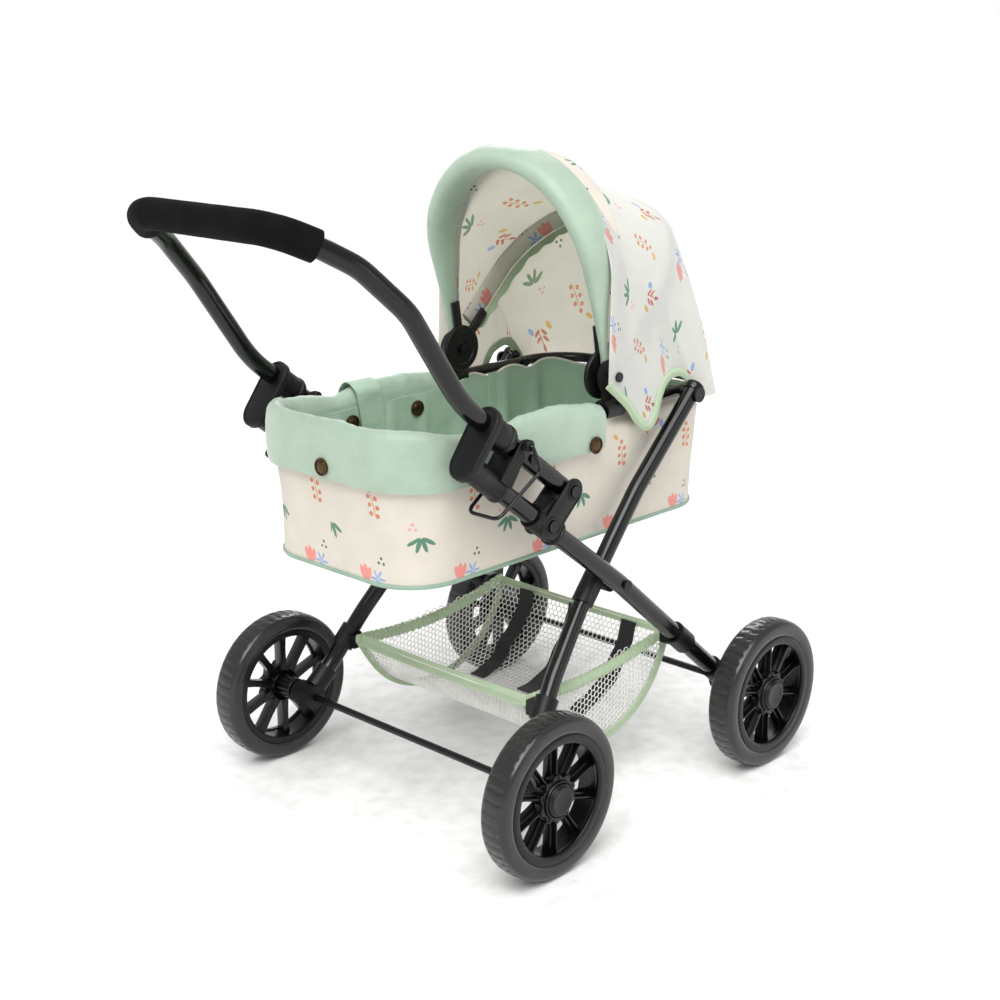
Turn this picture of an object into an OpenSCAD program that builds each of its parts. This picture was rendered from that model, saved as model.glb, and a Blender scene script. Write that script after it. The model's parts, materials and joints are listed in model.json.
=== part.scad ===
// Folding doll stroller: two crossed leg pairs, a hinged push handle, a carry cot hung
// in a rail loop, a folding hood, a net basket and four spoked wheels.
// +X points to the hood end, +Y to the left side, +Z up, and the wheels stand on z = 0.

/* [Wheels] */
// Outer diameter of each tyre
tyre_d = 130; // [124:1:134]
// Width of each tyre across the tread
tyre_w = 25; // [22:1:26]
// Distance between the two wheel mid-planes of one axle
track = 318; // [314:1:326]
// Distance between the rear and the front axle
wheelbase = 276; // [272:1:284]
// Number of spokes in a wheel
spoke_count = 10; // [8:1:12]
// Diameter of the steel axle rods
axle_d = 6; // [5:0.5:7]

/* [Frame] */
// Outside diameter of the front leg and handle tubes
main_tube_d = 15; // [14:0.5:15]
// Outside diameter of the rear leg tubes
rear_tube_d = 14; // [13:0.5:14]
// Wall thickness of all bent tubes
tube_wall = 1; // [0.8:0.1:1.4]
// Distance of the front leg and handle tubes from the middle plane
frame_half_w = 118; // [118:0.5:120]
// Slope of the straight tubes at the handle hinge, in degrees
hinge_tilt = 37.5; // [37.5]
// Spacing of the handle tube above the leg tube at the hinge
tube_pitch = 32.5; // [32:0.5:34]

/* [Cot] */
// Half of the width of the rail loop, measured to the tube centre
rail_half_w = 89; // [88:0.5:89]
// Diameter of the rail tube
rail_d = 9; // [8:0.5:9]
// Height of the rail above the ground
rail_z = 328; // [328]
// Height of the underside of the cot
cot_base_z = 223; // [220:1:226]

/* [Hood] */
// Outer radius of the padded front arch
arch_r = 90; // [88:1:90]
// Length of the straight arch legs above the hub
arch_leg = 86; // [80:1:90]
// Lean of the front arch away from the vertical, in degrees
front_lean = -9; // [-10:1:-6]
// Forward lean of the middle bow, in degrees
mid_lean = 45; // [42:1:48]

/* [Basket] */
// Radius of the round underside of the net basket
basket_r = 90; // [86:1:91]
// Half of the width of the net basket
basket_half_w = 98; // [94:1:99]

/* [Hidden] */
$fn = 48;

// Clearances
fit = 0.05;
run = 0.08;
bend_swell = 0.2;
handle_curve = 50;

// Colours
gloss_black = "#1a1a1c";
plastic_black = "#222224";
foam_black = "#2b2b2d";
cream = "#efe9dc";
mint = "#a9d3c1";
leaf_green = "#b5d3a4";
net_white = "#f4f4f2";
snap_brown = "#3b322b";
steel = "#8e9094";

// Shared radii and places; x is measured from the rear axle
tyre_r = tyre_d / 2;
wheel_y = track / 2;
main_r = main_tube_d / 2;
rear_r = rear_tube_d / 2;
axle_r = axle_d / 2;
rail_r = rail_d / 2;
axle_z = tyre_r;
grip_r = 11.5;
handle_top = [-174, 498];
centre_x = (handle_top[0] - grip_r + wheelbase + tyre_r) / 2;

hinge = [60.5, 284.6];
leg_end_x = -103.7;
cross_x = 110;
rivet_x = -6;
clip_x = -71;
stud_x = -54;
crossing = hinge_point(cross_x, -tube_pitch);
front_foot = [wheelbase, axle_z];

rear_top = [234, 104, rail_z];
rear_leg_path = [
  [9, 121, 73], [25, 120, 88], [56, 112, 130], [96, 103.4, 175], [125, 102, 208],
  [165, 103, 259], [239, 104, 333]
];
across_tubes = [sin(hinge_tilt), 0, cos(hinge_tilt)];
handle_bend = [hinge_point(-137, 0)[0], frame_half_w, hinge_point(-137, 0)[1]];
handle_side = [
  handle_bend, [-97, frame_half_w, 439], [-130, 107, 472], [-160, 86.5, 491],
  [handle_top[0], 62, handle_top[1]]
];

rail_back = -72;
rail_front = 288;
rail_corner = 45;
cuff_end = 134;
rim_start = 162;
cuff_base_z = 298;
cuff_top_z = 338;
channel_in = 5.5;
channel_out = 8;

hub = [148, 354];
canopy_r = 96.3;
canopy_t = 1.5;
canopy_gap = 6.5;
tail_lean = 98;
tail_reach = 154;
front_pad_w = 30;

basket_mid = [128, 139];
basket_rear = [40, 111];
basket_front = [216, 122];
basket_t = 1.5;
strap_w = 16;

// A point given along and across the straight tubes at the hinge, as [x, z]
function hinge_point(along, across) = [
  hinge[0] + along * cos(hinge_tilt) + across * sin(hinge_tilt),
  hinge[1] - along * sin(hinge_tilt) + across * cos(hinge_tilt)
];

function mirrored(points) = [for (p = points) [p[0], -p[1], p[2]]];
function reversed(points) = [for (i = [len(points) - 1:-1:0]) points[i]];
function side_of(left) = left ? 1 : -1;

// ---------- general shapes ----------

// Moves the rear-axle frame so that the whole stroller is centred on x = 0
module centred() {
  translate([-centre_x, 0, 0]) children();
}

// Local frame at the handle hinge: x runs down the tubes, z points away from the leg
module at_hinge(along = 0, across = 0, y = 0) {
  translate([hinge[0], y, hinge[1]])
    rotate([0, hinge_tilt, 0])
      translate([along, 0, across])
        children();
}

// Local frame at the hood hub, leaning about the hub axis
module at_hub(lean) {
  translate([hub[0], 0, hub[1]]) rotate([0, lean, 0]) children();
}

// Cylinder along +Y from y0 to y1
module pin_y(r, y0, y1) {
  translate([0, y0, 0]) rotate([-90, 0, 0]) cylinder(h = y1 - y0, r = r);
}

// Both mirror images of a shape that stands on the left side
module both_sides() {
  children();
  mirror([0, 1, 0]) children();
}

module on_side(left) {
  mirror([0, left ? 0 : 1, 0]) children();
}

// Round bar between two points
module bar(p, q, r) {
  d = q - p;
  span = norm(d);
  translate(p) rotate([0, acos(d[2] / span), atan2(d[1], d[0])]) cylinder(h = span, r = r);
}

// Round bar along a list of points, with a slightly fuller ball at each bend
module bent_bar(points, r) {
  for (i = [1:len(points) - 2]) translate(points[i]) sphere(r = r + bend_swell);
  for (i = [0:len(points) - 2]) bar(points[i], points[i + 1], r);
}

// Thin wire along a list of points, with square-cut runs that cross at each bend
module wire_run(points, r) {
  for (i = [0:len(points) - 2]) {
    d = points[i + 1] - points[i];
    reach = 0.7 * r * d / norm(d);
    bar(points[i] - reach, points[i + 1] + reach, r);
  }
}

// A list of points whose two ends are pushed out by a distance
function stretched(points, extra) = let (
  n = len(points) - 1,
  first = points[0] - points[1],
  last = points[n] - points[n - 1]
) [
  for (i = [0:n])
    i == 0 ? points[0] + first * extra / norm(first)
    : i == n ? points[n] + last * extra / norm(last)
    : points[i]
];

function unit(v) = v / norm(v);

// The points of an arc that rounds the corner p between its neighbours a and b
function corner_arc(a, p, b, bend, steps) = let (
  u = unit(a - p),
  v = unit(b - p),
  turn = acos(-u * v),
  mid = p + unit(u + v) * bend / cos(turn / 2),
  from = p + u * bend * tan(turn / 2) - mid,
  to = p + v * bend * tan(turn / 2) - mid
) [for (k = [0:steps]) mid + (sin(turn * (1 - k / steps)) * from + sin(turn * k / steps) * to) / sin(turn)];

// A path with each of its corners rounded
function eased(points, bend, steps = 4) = [
  points[0],
  for (i = [1:len(points) - 2]) each corner_arc(points[i - 1], points[i], points[i + 1], bend, steps),
  points[len(points) - 1]
];

// Faceted bar along an eased path; no part of the path may run along ref
module swept_bar(path, r, ref, sides = 32) {
  n = len(path);
  rings = [for (i = [0:n - 1]) let (
    before = unit(path[max(i, 1)] - path[max(i, 1) - 1]),
    after = unit(path[min(i, n - 2) + 1] - path[min(i, n - 2)]),
    t = unit(before + after),
    u = unit(ref - (ref * t) * t),
    v = cross(t, u)
  ) each [for (k = [0:sides - 1]) path[i] + r * (cos(k * 360 / sides) * u + sin(k * 360 / sides) * v)]];
  polyhedron(points = rings, faces = [
    [for (k = [0:sides - 1]) k],
    [for (k = [sides - 1:-1:0]) (n - 1) * sides + k],
    for (i = [0:n - 2], k = [0:sides - 1]) let (
      a = i * sides + k,
      b = i * sides + (k + 1) % sides
    ) each [[a, a + sides, b], [b, a + sides, b + sides]]
  ]);
}

module bent_tube(points, r, wall) {
  difference() {
    bent_bar(points, r);
    bent_bar(stretched(points, 1), r - wall);
  }
}

// Rounded rectangle in the x-y plane around the rail loop, grown by a distance
module loop_outline(grow) {
  r = rail_corner + grow;
  x0 = rail_back - grow;
  x1 = rail_front + grow;
  y1 = rail_half_w + grow;
  translate([x0 + r, -y1]) square([x1 - x0 - 2 * r, 2 * y1]);
  translate([x0, -y1 + r]) square([x1 - x0, 2 * (y1 - r)]);
  for (x = [x0 + r, x1 - r], y = [-y1 + r, y1 - r]) translate([x, y]) circle(r = r, $fn = 64);
}

// Upright ring between two growths of the loop outline
module loop_ring(outer, inner, z0, z1) {
  translate([0, 0, z0]) linear_extrude(z1 - z0) difference() {
    loop_outline(outer);
    loop_outline(inner);
  }
}

// Inverted U of fabric that folds over the rail
module rail_fold(outer_z, inner_z) {
  loop_ring(channel_out, channel_in, outer_z, cuff_top_z);
  loop_ring(channel_in, -channel_in, cuff_top_z - 3, cuff_top_z);
  loop_ring(-channel_in, -channel_out, inner_z, cuff_top_z);
}

// Half disc panel on a stalk: the plan of an arch, in the y-z plane, extruded along x
module arch_plate(r, foot, reach, thick) {
  rotate([90, 0, 90]) translate([0, 0, -thick / 2]) linear_extrude(thick) {
    translate([-r, foot]) square([2 * r, reach - r - foot]);
    translate([0, reach - r]) circle(r = r, $fn = 64);
  }
}

// Rod bent to the outline of an arch
module arch_rod(r_mid, foot, reach, rod_r) {
  top = reach - r_mid;
  both_sides() bar([0, r_mid, foot], [0, r_mid, top], rod_r);
  translate([0, 0, top]) rotate([90, 0, 90]) rotate_extrude(angle = 180, $fn = 96)
    translate([r_mid, 0]) circle(r = rod_r);
}

// ---------- frame ----------

module front_leg(left) {
  top = hinge_point(leg_end_x, -tube_pitch);
  run_out = (front_foot - crossing) / norm(front_foot - crossing);
  foot = front_foot - 12 * run_out;
  color(gloss_black) centred() on_side(left) difference() {
    bent_tube([[top[0], frame_half_w, top[1]], [crossing[0], frame_half_w, crossing[1]],
      [foot[0], frame_half_w, foot[1]]], main_r, tube_wall);
    translate([crossing[0], 0, crossing[1]]) pin_y(2.5 + fit, frame_half_w - 20, frame_half_w + 20);
    at_hinge(rivet_x, -tube_pitch) pin_y(3 + fit, frame_half_w - 20, frame_half_w + 20);
  }
}

module rear_leg(left) {
  color(gloss_black) centred() on_side(left) difference() {
    bent_tube(rear_leg_path, rear_r, tube_wall);
    translate([rear_top[0], 0, rear_top[2]]) pin_y(2 + fit, rear_top[1] - 20, rear_top[1] + 20);
  }
}

module axle(x) {
  color(steel) centred() translate([x, 0, axle_z]) pin_y(axle_r, -wheel_y - 8, wheel_y + 8);
}

// Moulded foot that joins a leg end to its axle
module axle_block(x, y0, y1, leg_points, tube_r) {
  d = leg_points[1] - leg_points[0];
  tip = leg_points[0] + 16 * d / norm(d);
  back = leg_points[0] - 3 * d / norm(d);
  difference() {
    union() {
      translate([x, 0, axle_z]) pin_y(10.5, y0, y1);
      bar(back, tip, tube_r + 2.2);
    }
    bar(leg_points[0], tip + d, tube_r + fit);
    translate([x, 0, axle_z]) pin_y(axle_r + fit, y0 - 20, y1 + 20);
  }
}

module front_axle_blocks() {
  run_out = (front_foot - crossing) / norm(front_foot - crossing);
  foot = front_foot - 12 * run_out;
  color(plastic_black) centred() both_sides()
    axle_block(wheelbase, 109, 134, [[foot[0], frame_half_w, foot[1]],
      [crossing[0], frame_half_w, crossing[1]]], main_r);
}

module rear_axle_blocks() {
  color(plastic_black) centred() both_sides()
    axle_block(0, 112, 134, [rear_leg_path[0], rear_leg_path[1]], rear_r);
}

module axle_washers(x) {
  color(steel) centred() translate([x, 0, axle_z]) both_sides() difference() {
    pin_y(6, 134.1, 137.9);
    pin_y(axle_r + fit, 130, 140);
  }
}

// Bolt through the front leg, with a head outside and a nut inside the rear leg lug
module cross_pivot_bolts() {
  color(steel) centred() translate([crossing[0], 0, crossing[1]]) both_sides() {
    pin_y(2.5, 93, frame_half_w + main_r + 1.5);
    pin_y(4.5, frame_half_w + main_r, frame_half_w + main_r + 2);
    pin_y(5, 91, 94.8);
  }
}

// Saddle on the rear leg that carries the crossing pivot beside the tube
module cross_pivot_saddles() {
  a = rear_leg_path[3];
  b = rear_leg_path[4];
  color(plastic_black) centred() both_sides() difference() {
    union() {
      bar(a + 0.12 * (b - a), a + 0.72 * (b - a), rear_r + 2);
      translate([crossing[0], 0, crossing[1]]) pin_y(9, 95, 110.2);
    }
    bar(a - (b - a), b, rear_r + fit);
    translate([crossing[0], 0, crossing[1]]) pin_y(2.5 + run, 80, 130);
    translate([crossing[0], 116.3, crossing[1]]) cube([60, 12, 60], center = true);
    translate([crossing[0], 89, crossing[1]]) cube([60, 12, 60], center = true);
  }
}

// Two ears and a sleeve: carries the handle hinge above the leg tube
module hinge_brackets() {
  ear_in = 7.8;
  ear_out = 10.3;
  color(plastic_black) centred() both_sides() at_hinge(0, 0, frame_half_w) difference() {
    union() {
      translate([-22, 0, -tube_pitch]) rotate([0, 90, 0]) cylinder(h = 34, r = 9.6);
      for (s = [-1, 1]) {
        y0 = s > 0 ? ear_in : -ear_out;
        pin_y(9.5, y0, y0 + ear_out - ear_in);
        translate([rivet_x, 0, -tube_pitch]) pin_y(9.5, y0, y0 + ear_out - ear_in);
        translate([-10.5, y0, -tube_pitch]) cube([17, ear_out - ear_in, tube_pitch]);
      }
      translate([-20, -3, -tube_pitch + 6]) cube([26, 6, tube_pitch - 20]);
      translate([-14, -ear_in - 0.5, -tube_pitch + 6]) cube([14, 2 * ear_in + 1, 8]);
    }
    translate([-60, 0, -tube_pitch]) rotate([0, 90, 0]) cylinder(h = 120, r = main_r + fit);
    pin_y(3 + fit, -20, 20);
    translate([rivet_x, 0, -tube_pitch]) pin_y(3 + fit, -20, 20);
  }
}

module hinge_rivets() {
  color(steel) centred() both_sides() at_hinge(0, 0, frame_half_w)
    for (place = [[0, 0], [rivet_x, -tube_pitch]]) translate([place[0], 0, place[1]]) {
      pin_y(3, -10.3, 10.3);
      pin_y(4.6, 10.3, 12);
      pin_y(4.6, -12, -10.3);
    }
}

// Sleeve on the upper leg end with an open cradle for the handle tube and a wire pivot
module leg_clips(left) {
  arm_in = main_r + 0.4;
  arm_t = 2.4;
  color(plastic_black) centred() on_side(left) at_hinge(0, 0, frame_half_w) difference() {
    union() {
      translate([leg_end_x, 0, -tube_pitch]) rotate([0, 90, 0]) cylinder(h = 39, r = 9.6);
      for (s = [-1, 1])
        translate([clip_x - 6, s > 0 ? arm_in : -arm_in - arm_t, -tube_pitch + 2])
          cube([12, arm_t, tube_pitch + 6]);
      translate([clip_x - 6, -arm_in - arm_t, -tube_pitch + 4])
        cube([12, 2 * (arm_in + arm_t), tube_pitch - 4 - main_r - 1]);
      translate([clip_x, 0, 4]) pin_y(4, arm_in + arm_t - 0.2, 15.5);
      translate([clip_x, 0, 4]) pin_y(4, -15.5, -arm_in - arm_t + 0.2);
    }
    translate([-140, 0, -tube_pitch]) rotate([0, 90, 0]) cylinder(h = 120, r = main_r + fit);
    for (s = [-1, 1])
      translate([clip_x, 0, 4]) pin_y(1.5 + run, s > 0 ? 10.6 : -16, s > 0 ? 16 : -10.6);
  }
}

// Closed pull wire that hangs from the two cradle pivots around the leg tube
module latch_wire(left) {
  wire_r = 1.4;
  arm_y = 17.4;
  knee = [19, -10];
  tip = [2, -59];
  half = [[0, 11.9, 0], [0, arm_y, 0], [knee[0], arm_y, knee[1]], [tip[0], arm_y - 2, tip[1]]];
  color(gloss_black) centred() on_side(left) at_hinge(clip_x, 4, frame_half_w)
    wire_run(concat(half, reversed(mirrored(half))), wire_r, $fn = 12);
}

module handle_tube() {
  foot = hinge_point(9, 0);
  left = concat([[foot[0], frame_half_w, foot[1]]], handle_side);
  path = eased(concat(left, reversed(mirrored(left))), handle_curve);
  color(gloss_black) centred() difference() {
    swept_bar(path, main_r, across_tubes);
    swept_bar(stretched(path, 1), main_r - tube_wall, across_tubes);
    both_sides() {
      at_hinge() pin_y(3 + run, frame_half_w - 20, frame_half_w + 20);
      at_hinge(stud_x) pin_y(2 + fit, frame_half_w - 20, frame_half_w + 20);
    }
  }
}

module foam_grip() {
  n = len(handle_side);
  end = (handle_side[n - 3] + handle_side[n - 2]) / 2;
  side = [end, handle_side[n - 2], handle_side[n - 1]];
  path = eased(concat(side, reversed(mirrored(side))), handle_curve);
  color(foam_black) centred() difference() {
    swept_bar(path, grip_r, across_tubes);
    swept_bar(stretched(path, 2), main_r + fit, across_tubes);
  }
}

// Studs on the handle tubes that carry the rear end of the cot rail
module cot_studs() {
  color(plastic_black) centred() both_sides() at_hinge(stud_x) {
    pin_y(2, frame_half_w - main_r, frame_half_w + main_r + 1.6);
    pin_y(4, frame_half_w + main_r, frame_half_w + main_r + 1.8);
    pin_y(3.2, 102.6, frame_half_w - main_r);
  }
}

// Sliding lock on the handle tube: an oval end plate with a short collar
module knuckle(left) {
  plate_x = -110.5;
  plate_t = 6.5;
  color(plastic_black) centred() on_side(left) at_hinge(0, 0, frame_half_w) difference() {
    union() {
      translate([-104, 0, 0]) rotate([0, 90, 0]) cylinder(h = 24, r = 10.5);
      translate([plate_x, 0, 0]) rotate([0, 90, 0]) linear_extrude(plate_t) {
        circle(r = 14);
        translate([tube_pitch, 0]) circle(r = 13);
        translate([0, -13.2]) square([tube_pitch, 26.4]);
      }
    }
    translate([-140, 0, 0]) rotate([0, 90, 0]) cylinder(h = 100, r = main_r + run);
  }
}

// ---------- basket ----------

// Clamp ring on a leg with an ear that reaches in to the basket corner
module basket_clamp(p, q, tube_r, corner) {
  mid = (p + q) / 2;
  difference() {
    union() {
      bar(p, q, tube_r + 2.4);
      translate([mid[0] - 5, corner[1] + 0.3, mid[2] - 7]) cube([10, mid[1] - corner[1], 12]);
    }
    bar(p - (q - p), q + (q - p), tube_r + fit);
    translate([mid[0], 0, mid[2] - 1]) pin_y(1.6 + fit, corner[1] - 1, corner[1] + 8);
  }
}

function along_path(a, b, z) = a + (b - a) * (z - a[2]) / (b[2] - a[2]);

module basket_clamps_front() {
  a = [crossing[0], frame_half_w, crossing[1]];
  b = [front_foot[0], frame_half_w, front_foot[1]];
  color(plastic_black) centred() both_sides()
    basket_clamp(along_path(a, b, 130), along_path(a, b, 116), main_r,
      [basket_front[0], basket_half_w + 3, basket_front[1]]);
}

module basket_clamps_rear() {
  a = rear_leg_path[1];
  b = rear_leg_path[2];
  color(plastic_black) centred() both_sides()
    basket_clamp(along_path(a, b, 102), along_path(a, b, 117), rear_r,
      [basket_rear[0], basket_half_w + 3, basket_rear[1]]);
}

module clamp_screws(mid) {
  color(steel) centred() both_sides() translate([mid[0], 0, mid[2] - 1])
    pin_y(1.6, basket_half_w + 3.3, basket_half_w + 9);
}

// Region below the sloping top edge of the basket, in the x-z plane
module below_top_edge(drop = 0) {
  slope = atan2(basket_front[1] - basket_rear[1], basket_front[0] - basket_rear[0]);
  translate([basket_rear[0], basket_rear[1] - drop]) rotate(slope)
    translate([-60, -120]) square([320, 120]);
}

module basket_body(r, half_w, drop) {
  translate([0, half_w, 0]) rotate([90, 0, 0]) linear_extrude(2 * half_w) intersection() {
    translate(basket_mid) circle(r = r, $fn = 96);
    below_top_edge(drop);
  }
}

module basket_net() {
  color(net_white) centred() difference() {
    basket_body(basket_r, basket_half_w, 3.3);
    basket_body(basket_r - basket_t, basket_half_w - basket_t, 0);
  }
}

// Top edge binding: a flat frame of tape on the four upper edges
module basket_binding() {
  slope = atan2(basket_front[1] - basket_rear[1], basket_front[0] - basket_rear[0]);
  span = norm(basket_front - basket_rear);
  color(leaf_green) centred() translate([basket_rear[0], 0, basket_rear[1]])
    rotate([0, -slope, 0]) difference() {
      translate([-4, -basket_half_w - 2, -3]) cube([span + 8, 2 * basket_half_w + 4, 5]);
      translate([0, -basket_half_w + 3, -10]) cube([span, 2 * basket_half_w - 6, 20]);
    }
}

module basket_straps() {
  color("#161616") centred() for (y = [-60, 0, 60])
    translate([0, y + strap_w / 2, 0]) rotate([90, 0, 0]) linear_extrude(strap_w)
      intersection() {
        difference() {
          translate(basket_mid) circle(r = basket_r - basket_t - 0.2, $fn = 96);
          translate(basket_mid) circle(r = basket_r - basket_t - 1.4, $fn = 96);
        }
        below_top_edge(7);
        translate([basket_mid[0], 0]) square([200, 200]);
      }
}

// ---------- cot ----------

module cot_rail() {
  x0 = rail_back + rail_corner;
  x1 = rail_front - rail_corner;
  y1 = rail_half_w - rail_corner;
  color(gloss_black) centred() difference() {
    translate([0, 0, rail_z]) {
      both_sides() bar([x0, rail_half_w, 0], [x1, rail_half_w, 0], rail_r);
      for (x = [rail_back, rail_front]) bar([x, -y1, 0], [x, y1, 0], rail_r);
      for (corner = [[x1, y1, 0], [x0, y1, 90], [x0, -y1, 180], [x1, -y1, 270]])
        translate([corner[0], corner[1], 0]) rotate([0, 0, corner[2]])
          rotate_extrude(angle = 90, $fn = 96) translate([rail_corner, 0]) circle(r = rail_r);
    }
    both_sides() translate([rear_top[0], 0, rear_top[2]]) pin_y(2 + run, 70, 110);
  }
}

// Short lugs under the rail that rest against the handle studs
module rail_lugs() {
  color(plastic_black) centred() both_sides() translate([hinge_point(stud_x, 0)[0], 0, 318])
    pin_y(5, rail_half_w + rail_r + 0.2, 98.9);
}

module rail_pivot_bolts() {
  color(steel) centred() translate([rear_top[0], 0, rear_top[2]]) both_sides() {
    pin_y(2, 83, rear_top[1] + rear_r + 0.5);
    pin_y(3.6, 82, 84.3);
    pin_y(3.4, rail_half_w + rail_r + 0.1, rear_top[1] - rear_r);
    pin_y(6.5, rear_top[1] + rear_r, rear_top[1] + rear_r + 2.5);
  }
}

// Tub shape between two rounded outlines, wider at the top
module tub(top_grow, base_grow, base_inset, z0, z1) {
  hull() {
    translate([0, 0, z1 - 1]) linear_extrude(1) loop_outline(top_grow);
    translate([base_inset, 0, z0]) linear_extrude(1) loop_outline(base_grow);
  }
}

module cot_shell() {
  color(cream) centred() difference() {
    tub(4.6, -3, 0, cot_base_z, rail_z - rail_r - 1);
    tub(2.1, -5.5, 0, cot_base_z + 2.5, rail_z + 10);
    both_sides() translate([hub[0] - 12, 80, rail_z - 9]) cube([24, 30, 10]);
  }
}

// Upper edge of the front half of the cot, which stands inside the bare rail
module cot_front_rim() {
  under_rail = rail_z - rail_r - 0.9;
  color(cream) centred() difference() {
    intersection() {
      union() {
        loop_ring(-channel_in, -channel_out, under_rail, rail_z + rail_r);
        loop_ring(4, -channel_out, under_rail, under_rail + 0.8);
      }
      translate([rim_start, -200, 0]) cube([400, 400, 600]);
    }
    both_sides() translate([rear_top[0], 0, rear_top[2]]) pin_y(4.2, 70, 90);
  }
}

module cot_cuff() {
  color(mint) centred() difference() {
    intersection() {
      rail_fold(cuff_base_z, cuff_base_z + 18);
      translate([cuff_end - 400, -200, 0]) cube([400, 400, 600]);
    }
    both_sides() translate([hinge_point(stud_x, 0)[0], 0, 318]) pin_y(6, 90, 110);
  }
}

module cot_lining() {
  top_z = cuff_base_z + 17;
  color(mint) centred() difference() {
    tub(0.3, -5.8, 0, cot_base_z + 6.3, top_z);
    tub(-1, -7.2, 0, cot_base_z + 7.8, top_z + 1);
  }
}

module cot_floor_board() {
  color("#d9d4c8") centred() translate([0, 0, cot_base_z + 2.7])
    linear_extrude(3.3) loop_outline(-6.5);
}

module snap(depth) {
  cylinder(h = depth, r = 6.5);
  cylinder(h = depth + 0.5, r = 4.8);
}

module snap_buttons() {
  side_y = rail_half_w + channel_out + 0.2;
  color(snap_brown) centred() {
    for (x = [-12, 120]) both_sides() translate([x, side_y, 304]) rotate([-90, 0, 0]) snap(1);
    translate([rail_back - channel_out - 0.2, 0, 308]) rotate([0, -90, 0]) snap(1);
  }
}

// ---------- hood ----------

module hood_clamps() {
  color(plastic_black) centred() both_sides() difference() {
    union() {
      translate([hub[0] - 11, rail_half_w, rail_z]) rotate([0, 90, 0]) cylinder(h = 22, r = 8);
      translate([hub[0] - 9, 86.7, rail_z]) cube([18, 3.3, hub[1] - rail_z]);
      translate([hub[0], 0, hub[1]]) pin_y(14, 86.7, 90);
    }
    translate([hub[0] - 20, rail_half_w, rail_z]) rotate([0, 90, 0]) cylinder(h = 40, r = rail_r + fit);
    translate([hub[0], 0, hub[1]]) pin_y(2 + fit, 70, 110);
  }
}

module hood_hub_discs() {
  color(plastic_black) centred() translate([hub[0], 0, hub[1]]) both_sides() difference() {
    union() {
      pin_y(20, 77.5, 81.2);
      pin_y(9, 94.6, 97.2);
    }
    pin_y(2 + fit, 70, 110);
  }
}

module hood_screws() {
  color(steel) centred() translate([hub[0], 0, hub[1]]) both_sides() {
    pin_y(2, 77, 97.4);
    pin_y(4, 75.5, 77.5);
    pin_y(4, 97.2, 98.6);
  }
}

module hood_front_bow() {
  color(plastic_black) centred() at_hub(front_lean) difference() {
    union() {
      arch_rod(arch_r - 6, 0, arch_leg + arch_r - 6, 2.5);
      both_sides() pin_y(8, arch_r - 8.5, arch_r - 3.5);
    }
    both_sides() pin_y(2 + run, 70, 110);
  }
}

module hood_front_pad() {
  reach = arch_leg + arch_r;
  color(mint) centred() at_hub(front_lean) difference() {
    arch_plate(arch_r, 24, reach, front_pad_w);
    arch_plate(arch_r - 12, -10, reach - 12, front_pad_w + 2);
    arch_rod(arch_r - 6, 0, reach - 6, 2.5 + fit);
  }
}

module hood_mid_bow() {
  color(cream) centred() at_hub(mid_lean) difference() {
    union() {
      arch_rod(arch_r + 2.4, 0, arch_leg + arch_r - 4.5, 2);
      both_sides() pin_y(7, arch_r + 0.4, arch_r + 4.4);
    }
    both_sides() pin_y(2 + run, 70, 110);
  }
}

// Solid filled by the hood from its front arch over the middle bow to its tail
module hood_solid(r, foot, edge) {
  reach = arch_leg + arch_r + r - canopy_r;
  hull() {
    at_hub(front_lean + canopy_gap) arch_plate(r, foot, reach, edge, $fn = 40);
    at_hub(mid_lean) arch_plate(r, foot, reach, 1, $fn = 40);
  }
  hull() {
    at_hub(mid_lean) arch_plate(r, foot, reach, 1, $fn = 40);
    at_hub(tail_lean) arch_plate(r, foot, tail_reach + r - canopy_r, 1, $fn = 40);
  }
}

module hood_canopy() {
  color(cream) centred() difference() {
    hood_solid(canopy_r, 16, 1);
    hood_solid(canopy_r - canopy_t, -12, 3);
  }
}

// ---------- wheels ----------

// Rounded rectangle profile built from squares and circles, centred on its own middle
module soft_square(w, h, r) {
  square([w - 2 * r, h], center = true);
  square([w, h - 2 * r], center = true);
  for (x = [-1, 1], y = [-1, 1]) translate([x * (w / 2 - r), y * (h / 2 - r)]) circle(r = r);
}

// Local frame at one wheel: z runs outwards along the axle from the wheel mid-plane
module at_wheel(front, left) {
  centred() translate([front ? wheelbase : 0, side_of(left) * wheel_y, axle_z])
    rotate([left ? -90 : 90, 0, 0]) children();
}

module tyre(front, left) {
  depth = tyre_r - 52;
  color(gloss_black) at_wheel(front, left) rotate_extrude($fn = 120)
    translate([52 + depth / 2, 0]) soft_square(depth, tyre_w, 5);
}

module wheel(front, left) {
  rim_r = 52 - fit;
  color(plastic_black) at_wheel(front, left) difference() {
    union() {
      rotate_extrude($fn = 120) translate([45.5, -10]) square([rim_r - 45.5, 20]);
      rotate_extrude($fn = 120) translate([44, 7]) square([rim_r - 44, 4.5]);
      translate([0, 0, -21]) cylinder(h = 29, r = 10);
      translate([0, 0, 1]) cylinder(h = 8, r = 18);
      for (i = [0:spoke_count - 1]) rotate([0, 0, (i + 0.5) * 360 / spoke_count]) {
        translate([14, -3.4, -4]) cube([33, 6.8, 8]);
        translate([14, -1.2, 3]) cube([33, 2.4, 5]);
      }
    }
    translate([0, 0, -30]) cylinder(h = 60, r = axle_r + run);
    translate([0, 0, 8.4]) cylinder(h = 10, r = 13.4);
  }
}

module hub_cap(front, left) {
  color(plastic_black) at_wheel(front, left) {
    difference() {
      translate([0, 0, 8.4]) cylinder(h = 3.8, r = 13.2);
      translate([0, 0, 8]) cylinder(h = 1, r = axle_r + 0.4);
    }
    translate([0, 0, 12.2]) cylinder(h = 1.6, r = 11.3);
  }
}

// ---------- one line for each node ----------

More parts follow.
